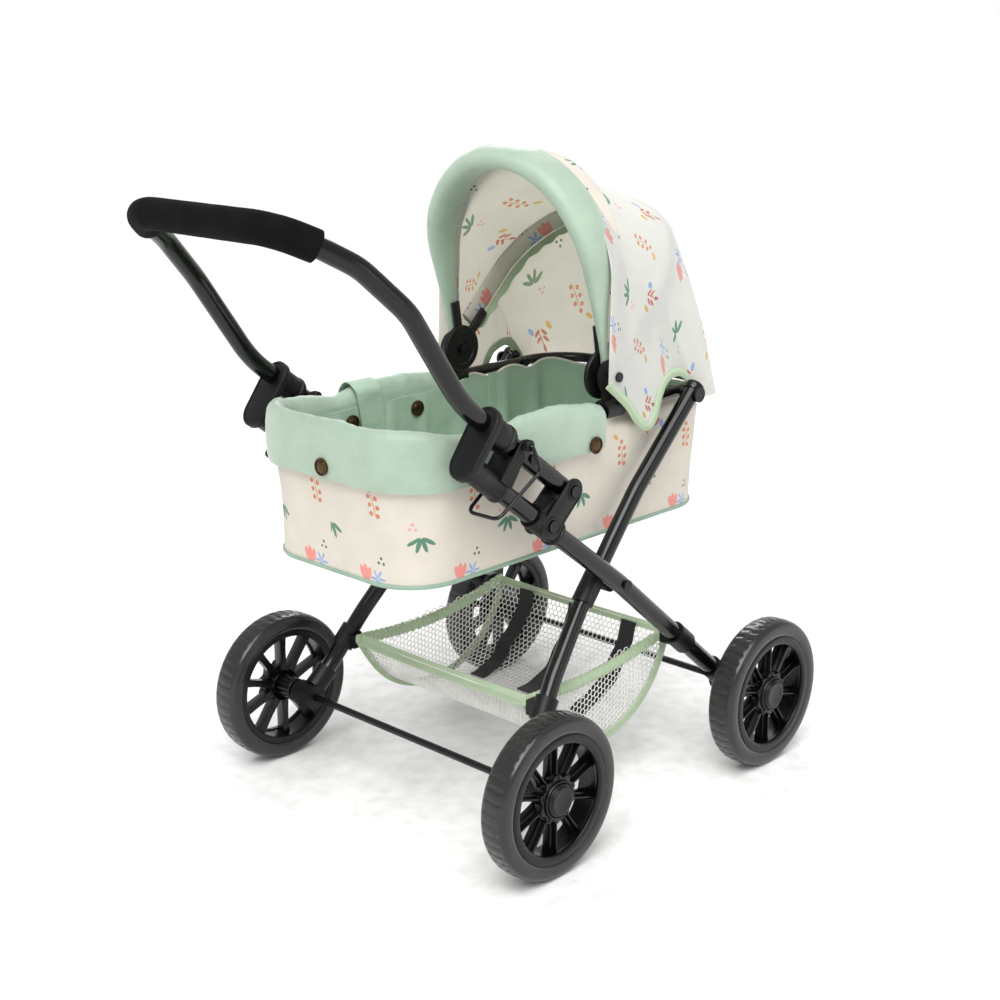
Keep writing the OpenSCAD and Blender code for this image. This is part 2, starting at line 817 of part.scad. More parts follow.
front_leg(true);  // front_leg_left
front_leg(false);  // front_leg_right
rear_leg(true);  // rear_leg_left
rear_leg(false);  // rear_leg_right
axle(wheelbase);  // front_axle
axle(0);  // rear_axle
front_axle_blocks();
rear_axle_blocks();
axle_washers(wheelbase);  // axle_washers_front
axle_washers(0);  // axle_washers_rear
cross_pivot_bolts();
cross_pivot_saddles();
hinge_brackets();
hinge_rivets();
leg_clips(true);  // leg_clips_left
leg_clips(false);  // leg_clips_right
latch_wire(true);  // latch_wire_left
latch_wire(false);  // latch_wire_right
handle_tube();
foam_grip();
cot_studs();
knuckle(true);  // knuckle_left
knuckle(false);  // knuckle_right
basket_clamps_front();
basket_clamps_rear();
clamp_screws(along_path([crossing[0], 0, crossing[1]], [front_foot[0], 0, front_foot[1]], 123));  // clamp_screws_front
clamp_screws(along_path(rear_leg_path[1], rear_leg_path[2], 109.5));  // clamp_screws_rear
basket_net();
basket_binding();
basket_straps();
cot_rail();
rail_lugs();
rail_pivot_bolts();
cot_shell();
cot_front_rim();
cot_cuff();
cot_lining();
cot_floor_board();
snap_buttons();
hood_clamps();
hood_hub_discs();
hood_screws();
hood_front_bow();
hood_front_pad();
hood_mid_bow();
hood_canopy();
wheel(true, true);  // wheel_front_left
wheel(true, false);  // wheel_front_right
wheel(false, true);  // wheel_rear_left
wheel(false, false);  // wheel_rear_right
tyre(true, true);  // tyre_front_left
tyre(true, false);  // tyre_front_right
tyre(false, true);  // tyre_rear_left
tyre(false, false);  // tyre_rear_right
hub_cap(true, true);  // hub_caps_front_left
hub_cap(true, false);  // hub_caps_front_right
hub_cap(false, true);  // hub_caps_rear_left
hub_cap(false, false);  // hub_caps_rear_right
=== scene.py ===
"""Doll stroller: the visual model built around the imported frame.

Lengths inside the classes are millimetres, measured from the rear axle along x, from the
middle plane along y and from the ground along z. Gauge turns them into the part's metres.
"""

import json
import logging
import math
from collections.abc import Callable, Sequence
from dataclasses import dataclass, field
from enum import Enum

import bmesh
import bpy
import numpy as np
from mathutils import Matrix, Vector, noise

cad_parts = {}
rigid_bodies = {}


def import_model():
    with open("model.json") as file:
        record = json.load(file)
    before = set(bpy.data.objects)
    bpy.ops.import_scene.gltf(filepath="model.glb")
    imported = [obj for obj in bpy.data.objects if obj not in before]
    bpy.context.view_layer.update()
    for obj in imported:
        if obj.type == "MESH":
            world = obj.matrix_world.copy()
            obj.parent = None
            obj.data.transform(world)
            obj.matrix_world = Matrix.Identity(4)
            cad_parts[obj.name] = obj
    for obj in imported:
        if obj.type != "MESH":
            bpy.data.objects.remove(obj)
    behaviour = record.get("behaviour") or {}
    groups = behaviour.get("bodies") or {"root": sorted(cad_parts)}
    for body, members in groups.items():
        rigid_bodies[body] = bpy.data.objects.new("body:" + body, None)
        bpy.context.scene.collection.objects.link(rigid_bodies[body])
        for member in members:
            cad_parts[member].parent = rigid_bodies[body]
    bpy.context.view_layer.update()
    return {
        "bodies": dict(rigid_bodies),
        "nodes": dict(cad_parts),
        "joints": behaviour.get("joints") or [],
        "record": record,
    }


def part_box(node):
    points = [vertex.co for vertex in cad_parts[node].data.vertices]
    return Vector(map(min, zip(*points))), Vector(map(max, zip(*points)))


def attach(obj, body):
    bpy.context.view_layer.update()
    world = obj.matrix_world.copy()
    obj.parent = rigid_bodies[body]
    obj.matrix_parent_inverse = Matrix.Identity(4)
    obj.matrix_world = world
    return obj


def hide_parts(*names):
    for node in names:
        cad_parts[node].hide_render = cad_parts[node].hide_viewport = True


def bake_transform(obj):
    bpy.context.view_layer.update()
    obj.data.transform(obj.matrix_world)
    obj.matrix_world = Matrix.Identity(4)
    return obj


LOG = logging.getLogger("doll_stroller")
MM = 0.001


# ---------------------------------------------------------------- names


class Body(str, Enum):
    """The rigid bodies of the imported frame."""

    CHASSIS = "chassis"
    REAR_FRAME = "rear_frame"
    HANDLE = "handle"
    COT = "cot"
    HOOD_FRONT = "hood_front"
    HOOD_MID = "hood_mid"


class Side(Enum):
    """The two sides of the stroller, with the sign of y."""

    LEFT = 1
    RIGHT = -1

    @property
    def word(self) -> str:
        """The side's name as used in piece names."""
        return self.name.lower()


class End(Enum):
    """The two axles."""

    FRONT = "front"
    REAR = "rear"


# ---------------------------------------------------------------- measuring


@dataclass(frozen=True)
class Gauge:
    """Turns millimetres from the rear axle into metres in the part's frame.

    Attributes:
        rear_axle_x: x of the rear axle in the part's frame, in metres.
    """

    rear_axle_x: float

    def at(self, x: float, y: float, z: float) -> Vector:
        """One place.

        Args:
            x: Distance in front of the rear axle, in millimetres.
            y: Distance to the left of the middle plane, in millimetres.
            z: Height above the ground, in millimetres.

        Returns:
            The place in the part's frame, in metres.
        """
        return Vector((self.rear_axle_x + x * MM, y * MM, z * MM))

    def rows(self, points: np.ndarray) -> np.ndarray:
        """Many places at once.

        Args:
            points: Array whose last axis holds x, y, z in millimetres.

        Returns:
            The same array in metres in the part's frame.
        """
        out = np.asarray(points, float) * MM
        out[..., 0] += self.rear_axle_x
        return out


def gauge_from_frame() -> Gauge:
    """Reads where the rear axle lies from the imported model.

    Returns:
        The gauge for this frame.
    """
    low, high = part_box("rear_axle")
    return Gauge(rear_axle_x=(low.x + high.x) / 2)


# ---------------------------------------------------------------- mesh shop


@dataclass
class Shell:
    """Points and faces of one mesh, gathered in millimetres.

    Attributes:
        points: Rows of x, y, z.
        faces: Tuples of point indices.
        uvs: One u, v pair for each point, in millimetres of cloth.
    """

    points: list = field(default_factory=list)
    faces: list = field(default_factory=list)
    uvs: list = field(default_factory=list)

    def add(self, points: np.ndarray, faces: Sequence[Sequence[int]], uvs: np.ndarray | None = None) -> None:
        """Adds a block of geometry.

        Args:
            points: Array of points, one row each.
            faces: Faces as indices into points.
            uvs: Array of u, v rows, or None for zeros.
        """
        start = len(self.points)
        block = np.asarray(points, float).reshape(-1, 3)
        flat = np.zeros((len(block), 2)) if uvs is None else np.asarray(uvs, float).reshape(-1, 2)
        self.points.extend(map(tuple, block))
        self.uvs.extend(map(tuple, flat))
        self.faces.extend(tuple(start + i for i in face) for face in faces)

    def join(self, other: "Shell") -> None:
        """Adds everything in another shell."""
        self.add(np.array(other.points), other.faces, np.array(other.uvs))

    def at(self, points: np.ndarray) -> "Shell":
        """The same faces and cloth on other points."""
        return Shell(list(map(tuple, points)), list(self.faces), list(self.uvs))

    def turned(self, order: tuple[int, int, int], shift: Sequence[float], flip: int = 1) -> "Shell":
        """The same faces with the axes in another order.

        Args:
            order: Which axis goes to x, to y and to z.
            shift: Shift afterwards.
            flip: Sign that y is multiplied by.

        Returns:
            The new shell.
        """
        return self.at(np.array(self.points)[:, list(order)] * (1, flip, 1) + np.asarray(shift, float))


def unit(rows: np.ndarray) -> np.ndarray:
    """Rows scaled to a length of 1."""
    return rows / np.linalg.norm(rows, axis=-1)[..., None]


def run_lengths(path: np.ndarray) -> np.ndarray:
    """Distance along a line at each of its points."""
    return np.r_[0, np.cumsum(np.linalg.norm(np.diff(path, axis=0), axis=1))]


def cloth_pairs(along: np.ndarray, across: np.ndarray) -> np.ndarray:
    """Cloth coordinates of a grid, from one value for each row and one for each column."""
    return np.stack(np.broadcast_arrays(along[:, None], across[None]), -1)


def full_turn(count: int) -> np.ndarray:
    """Angles evenly spread once around."""
    return np.linspace(0, 2 * math.pi, count, endpoint=False)


def squarer(value: np.ndarray, power: float) -> np.ndarray:
    """Keeps the sign and bends the size of a value; a power under 1 makes a circle squarer."""
    return np.sign(value) * np.abs(value) ** power


def rounded_section(half_thick: float, half_wide: float, powers: tuple[float, float], count: int) -> np.ndarray:
    """A section with rounded corners, for a sweep.

    Args:
        half_thick: Half its size along the first axis.
        half_wide: Half its size along the second axis.
        powers: Squareness along each axis; 1 is an ellipse.
        count: Number of points.

    Returns:
        The points of the section.
    """
    turn = full_turn(count)
    return np.stack([half_thick * squarer(np.cos(turn), powers[0]), half_wide * squarer(np.sin(turn), powers[1])], 1)


def beside(line: np.ndarray, first: np.ndarray, a: np.ndarray, second: np.ndarray, b: np.ndarray) -> np.ndarray:
    """A row of points beside each point of a line.

    Args:
        line: The line.
        first: One direction for the whole line.
        a: Distances along it, by point of the line and place in the row.
        second: A direction for each point of the line.
        b: Distances along that one.

    Returns:
        The grid of points.
    """
    return line[:, None] + first[None, None] * a[..., None] + second[:, None] * b[..., None]


def cap_ends(shell: Shell, count: int, flip: bool = False) -> Shell:
    """Closes the first and last rings of a swept shell.

    Args:
        shell: The shell, whose points are stored ring by ring.
        count: Number of points in a ring.
        flip: Whether the first cap runs backwards.

    Returns:
        The same shell.
    """
    first = tuple(range(count))
    shell.faces.append(tuple(reversed(first)) if flip else first)
    shell.faces.append(tuple(range(len(shell.points) - count, len(shell.points))))
    return shell


def grid_faces(rows: int, cols: int, wrap_rows: bool = False, wrap_cols: bool = False) -> list[tuple[int, ...]]:
    """Quads of a grid whose points are stored row by row.

    Args:
        rows: Number of rows of points.
        cols: Number of points in each row.
        wrap_rows: Whether the last row joins the first.
        wrap_cols: Whether the last column joins the first.

    Returns:
        The faces.
    """
    faces = []
    for i in range(rows if wrap_rows else rows - 1):
        for j in range(cols if wrap_cols else cols - 1):
            a = i * cols + j
            b = i * cols + (j + 1) % cols
            c = ((i + 1) % rows) * cols + (j + 1) % cols
            d = ((i + 1) % rows) * cols + j
            faces.append((a, b, c, d))
    return faces


def sheet_shell(points: np.ndarray, uvs: np.ndarray | None = None, **wraps: bool) -> Shell:
    """A surface from a grid of points.

    Args:
        points: Array of rows, columns and x, y, z.
        uvs: Array of rows, columns and u, v.
        **wraps: wrap_rows and wrap_cols of grid_faces.

    Returns:
        The shell.
    """
    shell = Shell()
    shell.add(points, grid_faces(points.shape[0], points.shape[1], **wraps), uvs)
    return shell


def eased_path(corners: Sequence[Sequence[float]], radius: float | Sequence[float], step: float = 3.0) -> np.ndarray:
    """Rounds the corners of a broken line with arcs.

    Args:
        corners: The line's points.
        radius: Bend radius at every inner corner, or one for each.
        step: Spacing of the points along the arcs.

    Returns:
        The points of the eased line.
    """
    pts = [np.asarray(c, float) for c in corners]
    radii = [radius] * (len(pts) - 2) if isinstance(radius, (int, float)) else list(radius)
    out = [pts[0]]
    for prev, here, after, bend in zip(pts, pts[1:], pts[2:], radii):
        a = (prev - here) / np.linalg.norm(prev - here)
        b = (after - here) / np.linalg.norm(after - here)
        half = math.acos(float(np.clip(-a @ b, -1, 1))) / 2
        if half < 1e-4:
            out.append(here)
            continue
        room = 0.49 * min(np.linalg.norm(prev - here), np.linalg.norm(after - here))
        cut = min(bend * math.tan(half), room)
        arc_r = cut / math.tan(half)
        bisector = (a + b) / np.linalg.norm(a + b)
        centre = here + bisector * arc_r / math.cos(half)
        start, end = here + a * cut - centre, here + b * cut - centre
        count = max(4, int(2 * half * arc_r / step) + 1)
        for k in range(count + 1):
            t = k / count
            angle = 2 * half
            mix = (math.sin((1 - t) * angle) * start + math.sin(t * angle) * end) / math.sin(angle)
            out.append(centre + mix)
    out.append(pts[-1])
    return np.array(out)


def spaced(path: np.ndarray, step: float) -> np.ndarray:
    """Resamples a line at even steps.

    Args:
        path: Points of the line.
        step: Largest spacing wanted.

    Returns:
        Evenly spaced points from the first to the last.
    """
    lengths = run_lengths(path)
    count = max(2, int(math.ceil(lengths[-1] / step)) + 1)
    marks = np.linspace(0, lengths[-1], count)
    return np.stack([np.interp(marks, lengths, path[:, k]) for k in range(path.shape[1])], axis=1)


def path_frames(
    path: np.ndarray, closed: bool = False, up: Sequence[float] | None = None
) -> tuple[np.ndarray, np.ndarray]:
    """Two cross directions at each point of a line, carried along without twist.

    Args:
        path: Points of the line.
        closed: Whether the last point joins the first.
        up: Direction that the first cross direction leans to at every point, or None.

    Returns:
        The normal and the binormal at each point.
    """
    ahead = np.roll(path, -1, axis=0) - path
    behind = path - np.roll(path, 1, axis=0)
    if not closed:
        ahead[-1] = behind[-1]
        behind[0] = ahead[0]
    ahead = unit(ahead)
    behind = unit(behind)
    tangent = unit(ahead + behind)
    guess = np.array([0.0, 0.0, 1.0]) if abs(tangent[0][2]) < 0.9 else np.array([1.0, 0.0, 0.0])
    normal = np.zeros_like(path)
    last = guess if up is None else np.asarray(up, float)
    for i, along in enumerate(tangent):
        lean = last if up is None else np.asarray(up, float)
        here = lean - along * (lean @ along)
        normal[i] = here / np.linalg.norm(here)
        last = normal[i]
    return normal, np.cross(tangent, normal)


def sweep(
    path: np.ndarray,
    radius: float | np.ndarray,
    sides: int = 20,
    closed: bool = False,
    section: np.ndarray | None = None,
    up: Sequence[float] | None = None,
) -> Shell:
    """Carries a section along a line.

    Args:
        path: Points of the line.
        radius: Radius of a round section, one or one for each point; it scales a given section.
        sides: Number of sides of a round section.
        closed: Whether the line is a loop.
        section: Points of the section across the normal and the binormal, or None for a circle.
        up: Direction for the section's first axis, or None.

    Returns:
        The swept shell.
    """
    path = np.asarray(path, float)
    if section is None:
        turn = full_turn(sides)
        section = np.stack([np.cos(turn), np.sin(turn)], axis=1)
    normal, binormal = path_frames(path, closed, up)
    size = np.broadcast_to(np.asarray(radius, float), (len(path),))
    ring = section[None, :, 0, None] * normal[:, None] + section[None, :, 1, None] * binormal[:, None]
    points = path[:, None] + ring * size[:, None, None]
    lengths = run_lengths(path)
    around = run_lengths(section) * float(np.mean(size))
    uvs = cloth_pairs(lengths, around)
    shell = sheet_shell(points, uvs, wrap_rows=closed, wrap_cols=True)
    return cap_ends(shell, len(section), flip=True) if not closed else shell


def lathe(profile: Sequence[Sequence[float]], segments: int = 96) -> Shell:
    """Turns a profile about the local z axis.

    Args:
        profile: Rows of radius and height; a radius of 0 closes the shape.
        segments: Number of steps around.

    Returns:
        The turned shell.
    """
    turn = full_turn(segments)
    prof = np.asarray(profile, float)
    points = np.stack(
        [
            prof[:, None, 0] * np.cos(turn)[None],
            prof[:, None, 0] * np.sin(turn)[None],
            np.broadcast_to(prof[:, None, 1], (len(prof), segments)),
        ],
        axis=-1,
    )
    shell = sheet_shell(points, None, wrap_cols=True)
    shell.faces = [tuple(reversed(face)) for face in shell.faces]
    return shell


def slab(outline: np.ndarray, low: float, high: float, soften: float = 0.6) -> Shell:
    """A flat plate with rounded edges, lying in the local x-y plane.

    Args:
        outline: Points around the plate, counter-clockwise.
        low: Height of its lower face.
        high: Height of its upper face.
        soften: Radius of the rounded edges.

    Returns:
        The plate's shell.
    """
    ahead = np.roll(outline, -1, axis=0) - np.roll(outline, 1, axis=0)
    inward = unit(np.stack([-ahead[:, 1], ahead[:, 0]], axis=1))
    rings = []
    steps = (0.0, 30.0, 60.0, 90.0)
    for angle in steps:
        turn = math.radians(angle)
        rings.append((soften * (1 - math.sin(turn)), low + soften * (1 - math.cos(turn))))
    for angle in reversed(steps):
        turn = math.radians(angle)
        rings.append((soften * (1 - math.sin(turn)), high - soften * (1 - math.cos(turn))))
    points = np.array([np.c_[outline + inward * inset, np.full(len(outline), z)] for inset, z in rings])
    return cap_ends(sheet_shell(points, None, wrap_cols=True), len(outline), flip=True)


def pill(length: float, radius_a: float, radius_b: float, steps: int = 14) -> np.ndarray:
    """Outline of two circles and their common tangents, along local x.

    Args:
        length: Distance between the circles' centres; the first is at the origin.
        radius_a: Radius at the origin.
        radius_b: Radius at the far end.
        steps: Points on each round end.

    Returns:
        The outline, counter-clockwise.
    """
    lean = math.acos((radius_a - radius_b) / length)
    far = np.linspace(-lean, lean, steps)
    near = np.linspace(lean, 2 * math.pi - lean, steps)
    return np.r_[
        np.c_[length + radius_b * np.cos(far), radius_b * np.sin(far)],
        np.c_[radius_a * np.cos(near), radius_a * np.sin(near)],
    ]


def placed(shell: Shell, origin: Sequence[float], x_axis: Sequence[float], y_axis: Sequence[float]) -> Shell:
    """Moves a shell from its local axes into the stroller.

    Args:
        shell: The shell.
        origin: Where the local origin goes.
        x_axis: Direction of local x.
        y_axis: Direction of local y; z is their cross product.

    Returns:
        A new shell, turned inside out again where the axes mirror it.
    """
    x = np.asarray(x_axis, float)
    y = np.asarray(y_axis, float)
    z = np.cross(x, y)
    local = np.array(shell.points)
    points = np.asarray(origin, float) + local[:, :1] * x + local[:, 1:2] * y + local[:, 2:] * z
    return shell.at(points)


def mirrored(shell: Shell) -> Shell:
    """The shell's mirror image across the middle plane."""
    points = np.array(shell.points) * (1, -1, 1)
    return Shell(list(map(tuple, points)), [tuple(reversed(f)) for f in shell.faces], list(shell.uvs))


def on_side(shell: Shell, side: Side) -> Shell:
    """A shell built on the left, moved to the side asked for."""
    return shell if side is Side.LEFT else mirrored(shell)


def ripple(points: np.ndarray, scale: float, seed: float) -> np.ndarray:
    """Smooth noise at each point.

    Args:
        points: Array whose last axis holds x, y, z in millimetres.
        scale: Size of the noise's lumps in millimetres.
        seed: Offset that picks another stretch of noise.

    Returns:
        One value from about -1 to 1 for each point.
    """
    flat = np.asarray(points, float).reshape(-1, 3) / scale + seed
    values = [noise.noise(Vector(p)) for p in flat]
    return np.array(values).reshape(np.asarray(points).shape[:-1])


def resampled(line: np.ndarray, count: int) -> np.ndarray:
    """Spreads a number of points evenly along a line.

    Args:
        line: Points of the line.
        count: Number of points wanted.

    Returns:
        The new points.
    """
    lengths = run_lengths(line)
    marks = np.linspace(0, lengths[-1], count)
    return np.stack([np.interp(marks, lengths, line[:, k]) for k in range(3)], axis=1)


def smooth_step(t: np.ndarray | float) -> np.ndarray | float:
    """Eases from 0 to 1, flat at both ends."""
    t = np.clip(t, 0, 1)
    return t * t * (3 - 2 * t)


# ---------------------------------------------------------------- finishes


def linear(colour: str) -> tuple[float, float, float, float]:
    """Turns a hex sRGB colour into the linear values that shaders take.

    Args:
        colour: Six hex digits.

    Returns:
        Linear red, green, blue and 1.
    """
    channels = [int(colour[i : i + 2], 16) / 255 for i in (0, 2, 4)]
    light = [c / 12.92 if c <= 0.04045 else ((c + 0.055) / 1.055) ** 2.4 for c in channels]
    return (light[0], light[1], light[2], 1.0)


class Graph:
    """A small builder for one material's shader nodes."""

    def __init__(self, name: str) -> None:
        """Starts a material with a Principled shader.

        Args:
            name: The material's name.
        """
        self.material = bpy.data.materials.new(name)
        self.material.use_nodes = True
        self.nodes = self.material.node_tree.nodes
        self.links = self.material.node_tree.links
        self.shader = self.nodes["Principled BSDF"]

    def set(self, **values: float | tuple) -> None:
        """Sets constant values on the shader's own sockets.

        Args:
            **values: Socket names with underscores for spaces.
        """
        for key, value in values.items():
            self.shader.inputs[key.replace("_", " ")].default_value = value

    def add(self, kind: str, inputs: dict | None = None, **props: object) -> bpy.types.Node:
        """Adds a node.

        Args:
            kind: The node's type name without the ShaderNode prefix.
            inputs: Values or sockets for its inputs, by name or index.
            **props: Attributes to set on the node.

        Returns:
            The new node.
        """
        node = self.nodes.new("ShaderNode" + kind)
        for key, value in props.items():
            setattr(node, key, value)
        for key, value in (inputs or {}).items():
            if isinstance(value, bpy.types.NodeSocket):
                self.links.new(value, node.inputs[key])
            else:
                node.inputs[key].default_value = value
        return node

    def math(self, operation: str, *values: object) -> bpy.types.NodeSocket:
        """Adds a maths node.

        Args:
            operation: The node's operation.
            *values: Its inputs, numbers or sockets.

        Returns:
            The result socket.
        """
        return self.add("Math", dict(enumerate(values)), operation=operation).outputs[0]

    def mix(self, factor: object, first: object, second: object) -> bpy.types.NodeSocket:
        """Blends two colours.

        Args:
            factor: 0 for the first, 1 for the second.
            first: Colour or socket.
            second: Colour or socket.

        Returns:
            The mixed colour's socket.
        """
        node = self.add("Mix", data_type="RGBA")
        for index, value in ((0, factor), (6, first), (7, second)):
            if isinstance(value, bpy.types.NodeSocket):
                self.links.new(value, node.inputs[index])
            else:
                node.inputs[index].default_value = value
        return node.outputs[2]

    def span(self, value: object, a: float, b: float, c: float = 0.0, d: float = 1.0) -> bpy.types.NodeSocket:
        """Maps a to c and b to d, held at the ends.

        Args:
            value: The socket to map.
            a: Input at the start.
            b: Input at the end.
            c: Output at the start.
            d: Output at the end.

        Returns:
            The mapped socket.
        """
        return self.add("MapRange", {0: value, 1: a, 2: b, 3: c, 4: d}).outputs[0]

    def place(self, source: str = "Object") -> bpy.types.NodeSocket:
        """The texture coordinates named.

        Args:
            source: Object or UV.

        Returns:
            The coordinate socket.
        """
        return self.add("TexCoord").outputs[source]

    def grain(self, scale: float, detail: float = 3.0) -> bpy.types.NodeSocket:
        """Soft noise.

        Args:
            scale: Lumps for each metre.
            detail: Octaves.

        Returns:
            The noise value's socket.
        """
        return self.add("TexNoise", {"Vector": self.place(), "Scale": scale, "Detail": detail}).outputs[0]

    def feed(self, socket: str, value: bpy.types.NodeSocket) -> None:
        """Links a value to one of the shader's inputs.

        Args:
            socket: The input's name.
            value: The socket to link.
        """
        self.links.new(value, self.shader.inputs[socket])

    def bump(self, height: bpy.types.NodeSocket, distance: float, strength: float = 1.0) -> None:
        """Adds surface relief on top of any relief already there.

        Args:
            height: Height from 0 to 1.
            distance: Depth in metres for a height of 1.
            strength: Share of the relief to show.
        """
        inputs = {"Strength": strength, "Distance": distance, "Height": height}
        if self.shader.inputs["Normal"].is_linked:
            inputs["Normal"] = self.shader.inputs["Normal"].links[0].from_socket
        self.links.new(self.add("Bump", inputs).outputs[0], self.shader.inputs["Normal"])


@dataclass(frozen=True)
class Finish:
    """A surface with one colour, worn a little unevenly.

    Attributes:
        name: The material's name.
        colour: sRGB hex colour.
        roughness: Mean roughness.
        spread: How much the roughness wanders.
        metallic: 1 for bare metal.
        coat: Weight of a clear coat.
        grain: Lumps of fine relief for each metre, or 0 for none.
        relief: Depth of the fine relief in metres.
        sheen: Weight of the soft edge glow of cloth.
        gleam: Strength of mirror-like reflection, 0.5 for an ordinary surface.
    """

    name: str
    colour: str
    roughness: float = 0.4
    spread: float = 0.06
    metallic: float = 0.0
    coat: float = 0.0
    grain: float = 0.0
    relief: float = 0.0
    sheen: float = 0.0
    gleam: float = 0.5

    def build(self) -> bpy.types.Material:
        """Makes the material, once.

        Returns:
            The material.
        """
        found = bpy.data.materials.get(self.name)
        if found is not None:
            return found
        graph = Graph(self.name)
        self.paint(graph)
        return graph.material

    def paint(self, graph: Graph) -> None:
        """Sets up the material's shader.

        Args:
            graph: The material's graph.
        """
        base = linear(self.colour)
        darker = tuple(c * 0.86 for c in base[:3]) + (1.0,)
        wander = graph.grain(60.0)
        graph.set(Metallic=self.metallic, Coat_Weight=self.coat, Coat_Roughness=0.08, Sheen_Weight=self.sheen)
        graph.set(Specular_IOR_Level=self.gleam)
        graph.feed("Base Color", graph.mix(graph.span(wander, 0.35, 0.7), base, darker))
        low, high = max(0.02, self.roughness - self.spread), self.roughness + self.spread
        graph.feed("Roughness", graph.span(wander, 0.3, 0.7, low, high))
        if self.grain:
            graph.bump(graph.grain(self.grain, 4.0), self.relief)


@dataclass(frozen=True)
class Weave(Finish):
    """Cloth with a plain weave that follows the mesh's own cloth coordinates.

    Attributes:
        pitch: Thread spacing in metres.
        crimp: Depth of the weave in metres.
    """

    pitch: float = 0.0009
    crimp: float = 0.00012

    def cloth(self, graph: Graph) -> bpy.types.NodeSocket:
        """The thread pattern's height.

        Args:
            graph: The graph to add it to.

        Returns:
            The height socket.
        """
        where = graph.add("SeparateXYZ", {0: graph.place("UV")})
        turn = 2 * math.pi / self.pitch
        across = graph.math("SINE", graph.math("MULTIPLY", where.outputs[0], turn))
        along = graph.math("SINE", graph.math("MULTIPLY", where.outputs[1], turn))
        return graph.math("MULTIPLY_ADD", graph.math("MULTIPLY", across, along), 0.5, 0.5)

    def paint(self, graph: Graph) -> None:
        """Sets up the material's shader.

        Args:
            graph: The material's graph.
        """
        base = linear(self.colour)
        darker = tuple(c * 0.9 for c in base[:3]) + (1.0,)
        wander = graph.grain(45.0)
        graph.set(Roughness=self.roughness, Sheen_Weight=self.sheen, Sheen_Roughness=0.5, Coat_Weight=self.coat)
        graph.feed("Base Color", graph.mix(graph.span(wander, 0.35, 0.7), base, darker))
        graph.bump(self.cloth(graph), self.crimp)
        graph.bump(graph.grain(90.0, 3.0), 0.0012, 0.6)


@dataclass(frozen=True)
class Mark:
    """One printed dab.

    Attributes:
        x: Centre across the repeat, in millimetres.
        y: Centre up the repeat, in millimetres.
        length: Full length in millimetres.
        width: Full width in millimetres.
        turn: Angle of the length from x, in degrees.
    """

    x: float
    y: float
    length: float
    width: float
    turn: float = 0.0


def fan(x: float, y: float, count: int, reach: float, width: float, middle: float, spread: float) -> list[Mark]:
    """Petals side by side from one foot.

    Args:
        x: Foot across the repeat.
        y: Foot up the repeat.
        count: Number of petals.
        reach: Length of each petal.
        width: Width of each petal.
        middle: Direction of the middle petal in degrees.
        spread: Angle between the first and last petal.

    Returns:
        The petals.
    """
    marks = []
    for k in range(count):
        angle = middle + spread * (k / (count - 1) - 0.5 if count > 1 else 0)
        turn = math.radians(angle)
        centre = (x + math.cos(turn) * reach * 0.55, y + math.sin(turn) * reach * 0.55)
        marks.append(Mark(centre[0], centre[1], reach, width, angle))
    return marks


def dots(places: Sequence[tuple[float, float]], size: float) -> list[Mark]:
    """Round dabs.

    Args:
        places: Their centres.
        size: Their diameter.

    Returns:
        The marks.
    """
    return [Mark(x, y, size, size) for x, y in places]


REPEAT = (85.0, 112.0)

PRINT: dict[str, list[Mark]] = {
    # drooping green leaves
    "3c7a60": fan(62, 41, 4, 12.5, 3.7, 270, 118),
    # coral tulips
    "ea8a80": [Mark(27, 9, 13.5, 6.0, 86), Mark(23.2, 8.4, 12.0, 5.0, 104), Mark(30.4, 8.6, 12.0, 5.0, 68)],
    # blue starbursts and one oval
    "7d9fd6": [*fan(14, 6, 6, 7.6, 2.0, 90, 300), Mark(50, 81, 9.5, 5.0, 60)],
    # orange berry sprigs
    "cd7440": [
        Mark(14, 63, 21, 0.9, 78),
        *dots([(10.5, 55.5), (16.6, 57), (10.4, 62), (17.8, 63.5), (12, 69), (18.6, 70), (16.4, 75)], 4.0),
    ],
    # rust leaf sprigs
    "b4543c": [
        Mark(60, 89, 21, 0.9, 75),
        *(
            Mark(60 + 3.6 * side + 1.3 * row, 84 + 6 * row, 8.5, 3.2, 90 - 42 * side)
            for row in (0, 1)
            for side in (-1, 1)
        ),
        Mark(62.6, 98.5, 8.5, 3.2, 80),
    ],
    # mustard leaves
    "d3a043": [Mark(69, 79, 9.5, 4.4, 62), Mark(24, 80, 8.5, 3.8, 35)],
    # pink triple dots
    "ee97a2": dots([(66.5, 47), (71.0, 47.4), (68.6, 51)], 2.7),
    # dark triple dots
    "31463f": dots([(7.6, 18.6), (12.2, 19), (9.8, 22.8)], 2.5),
}


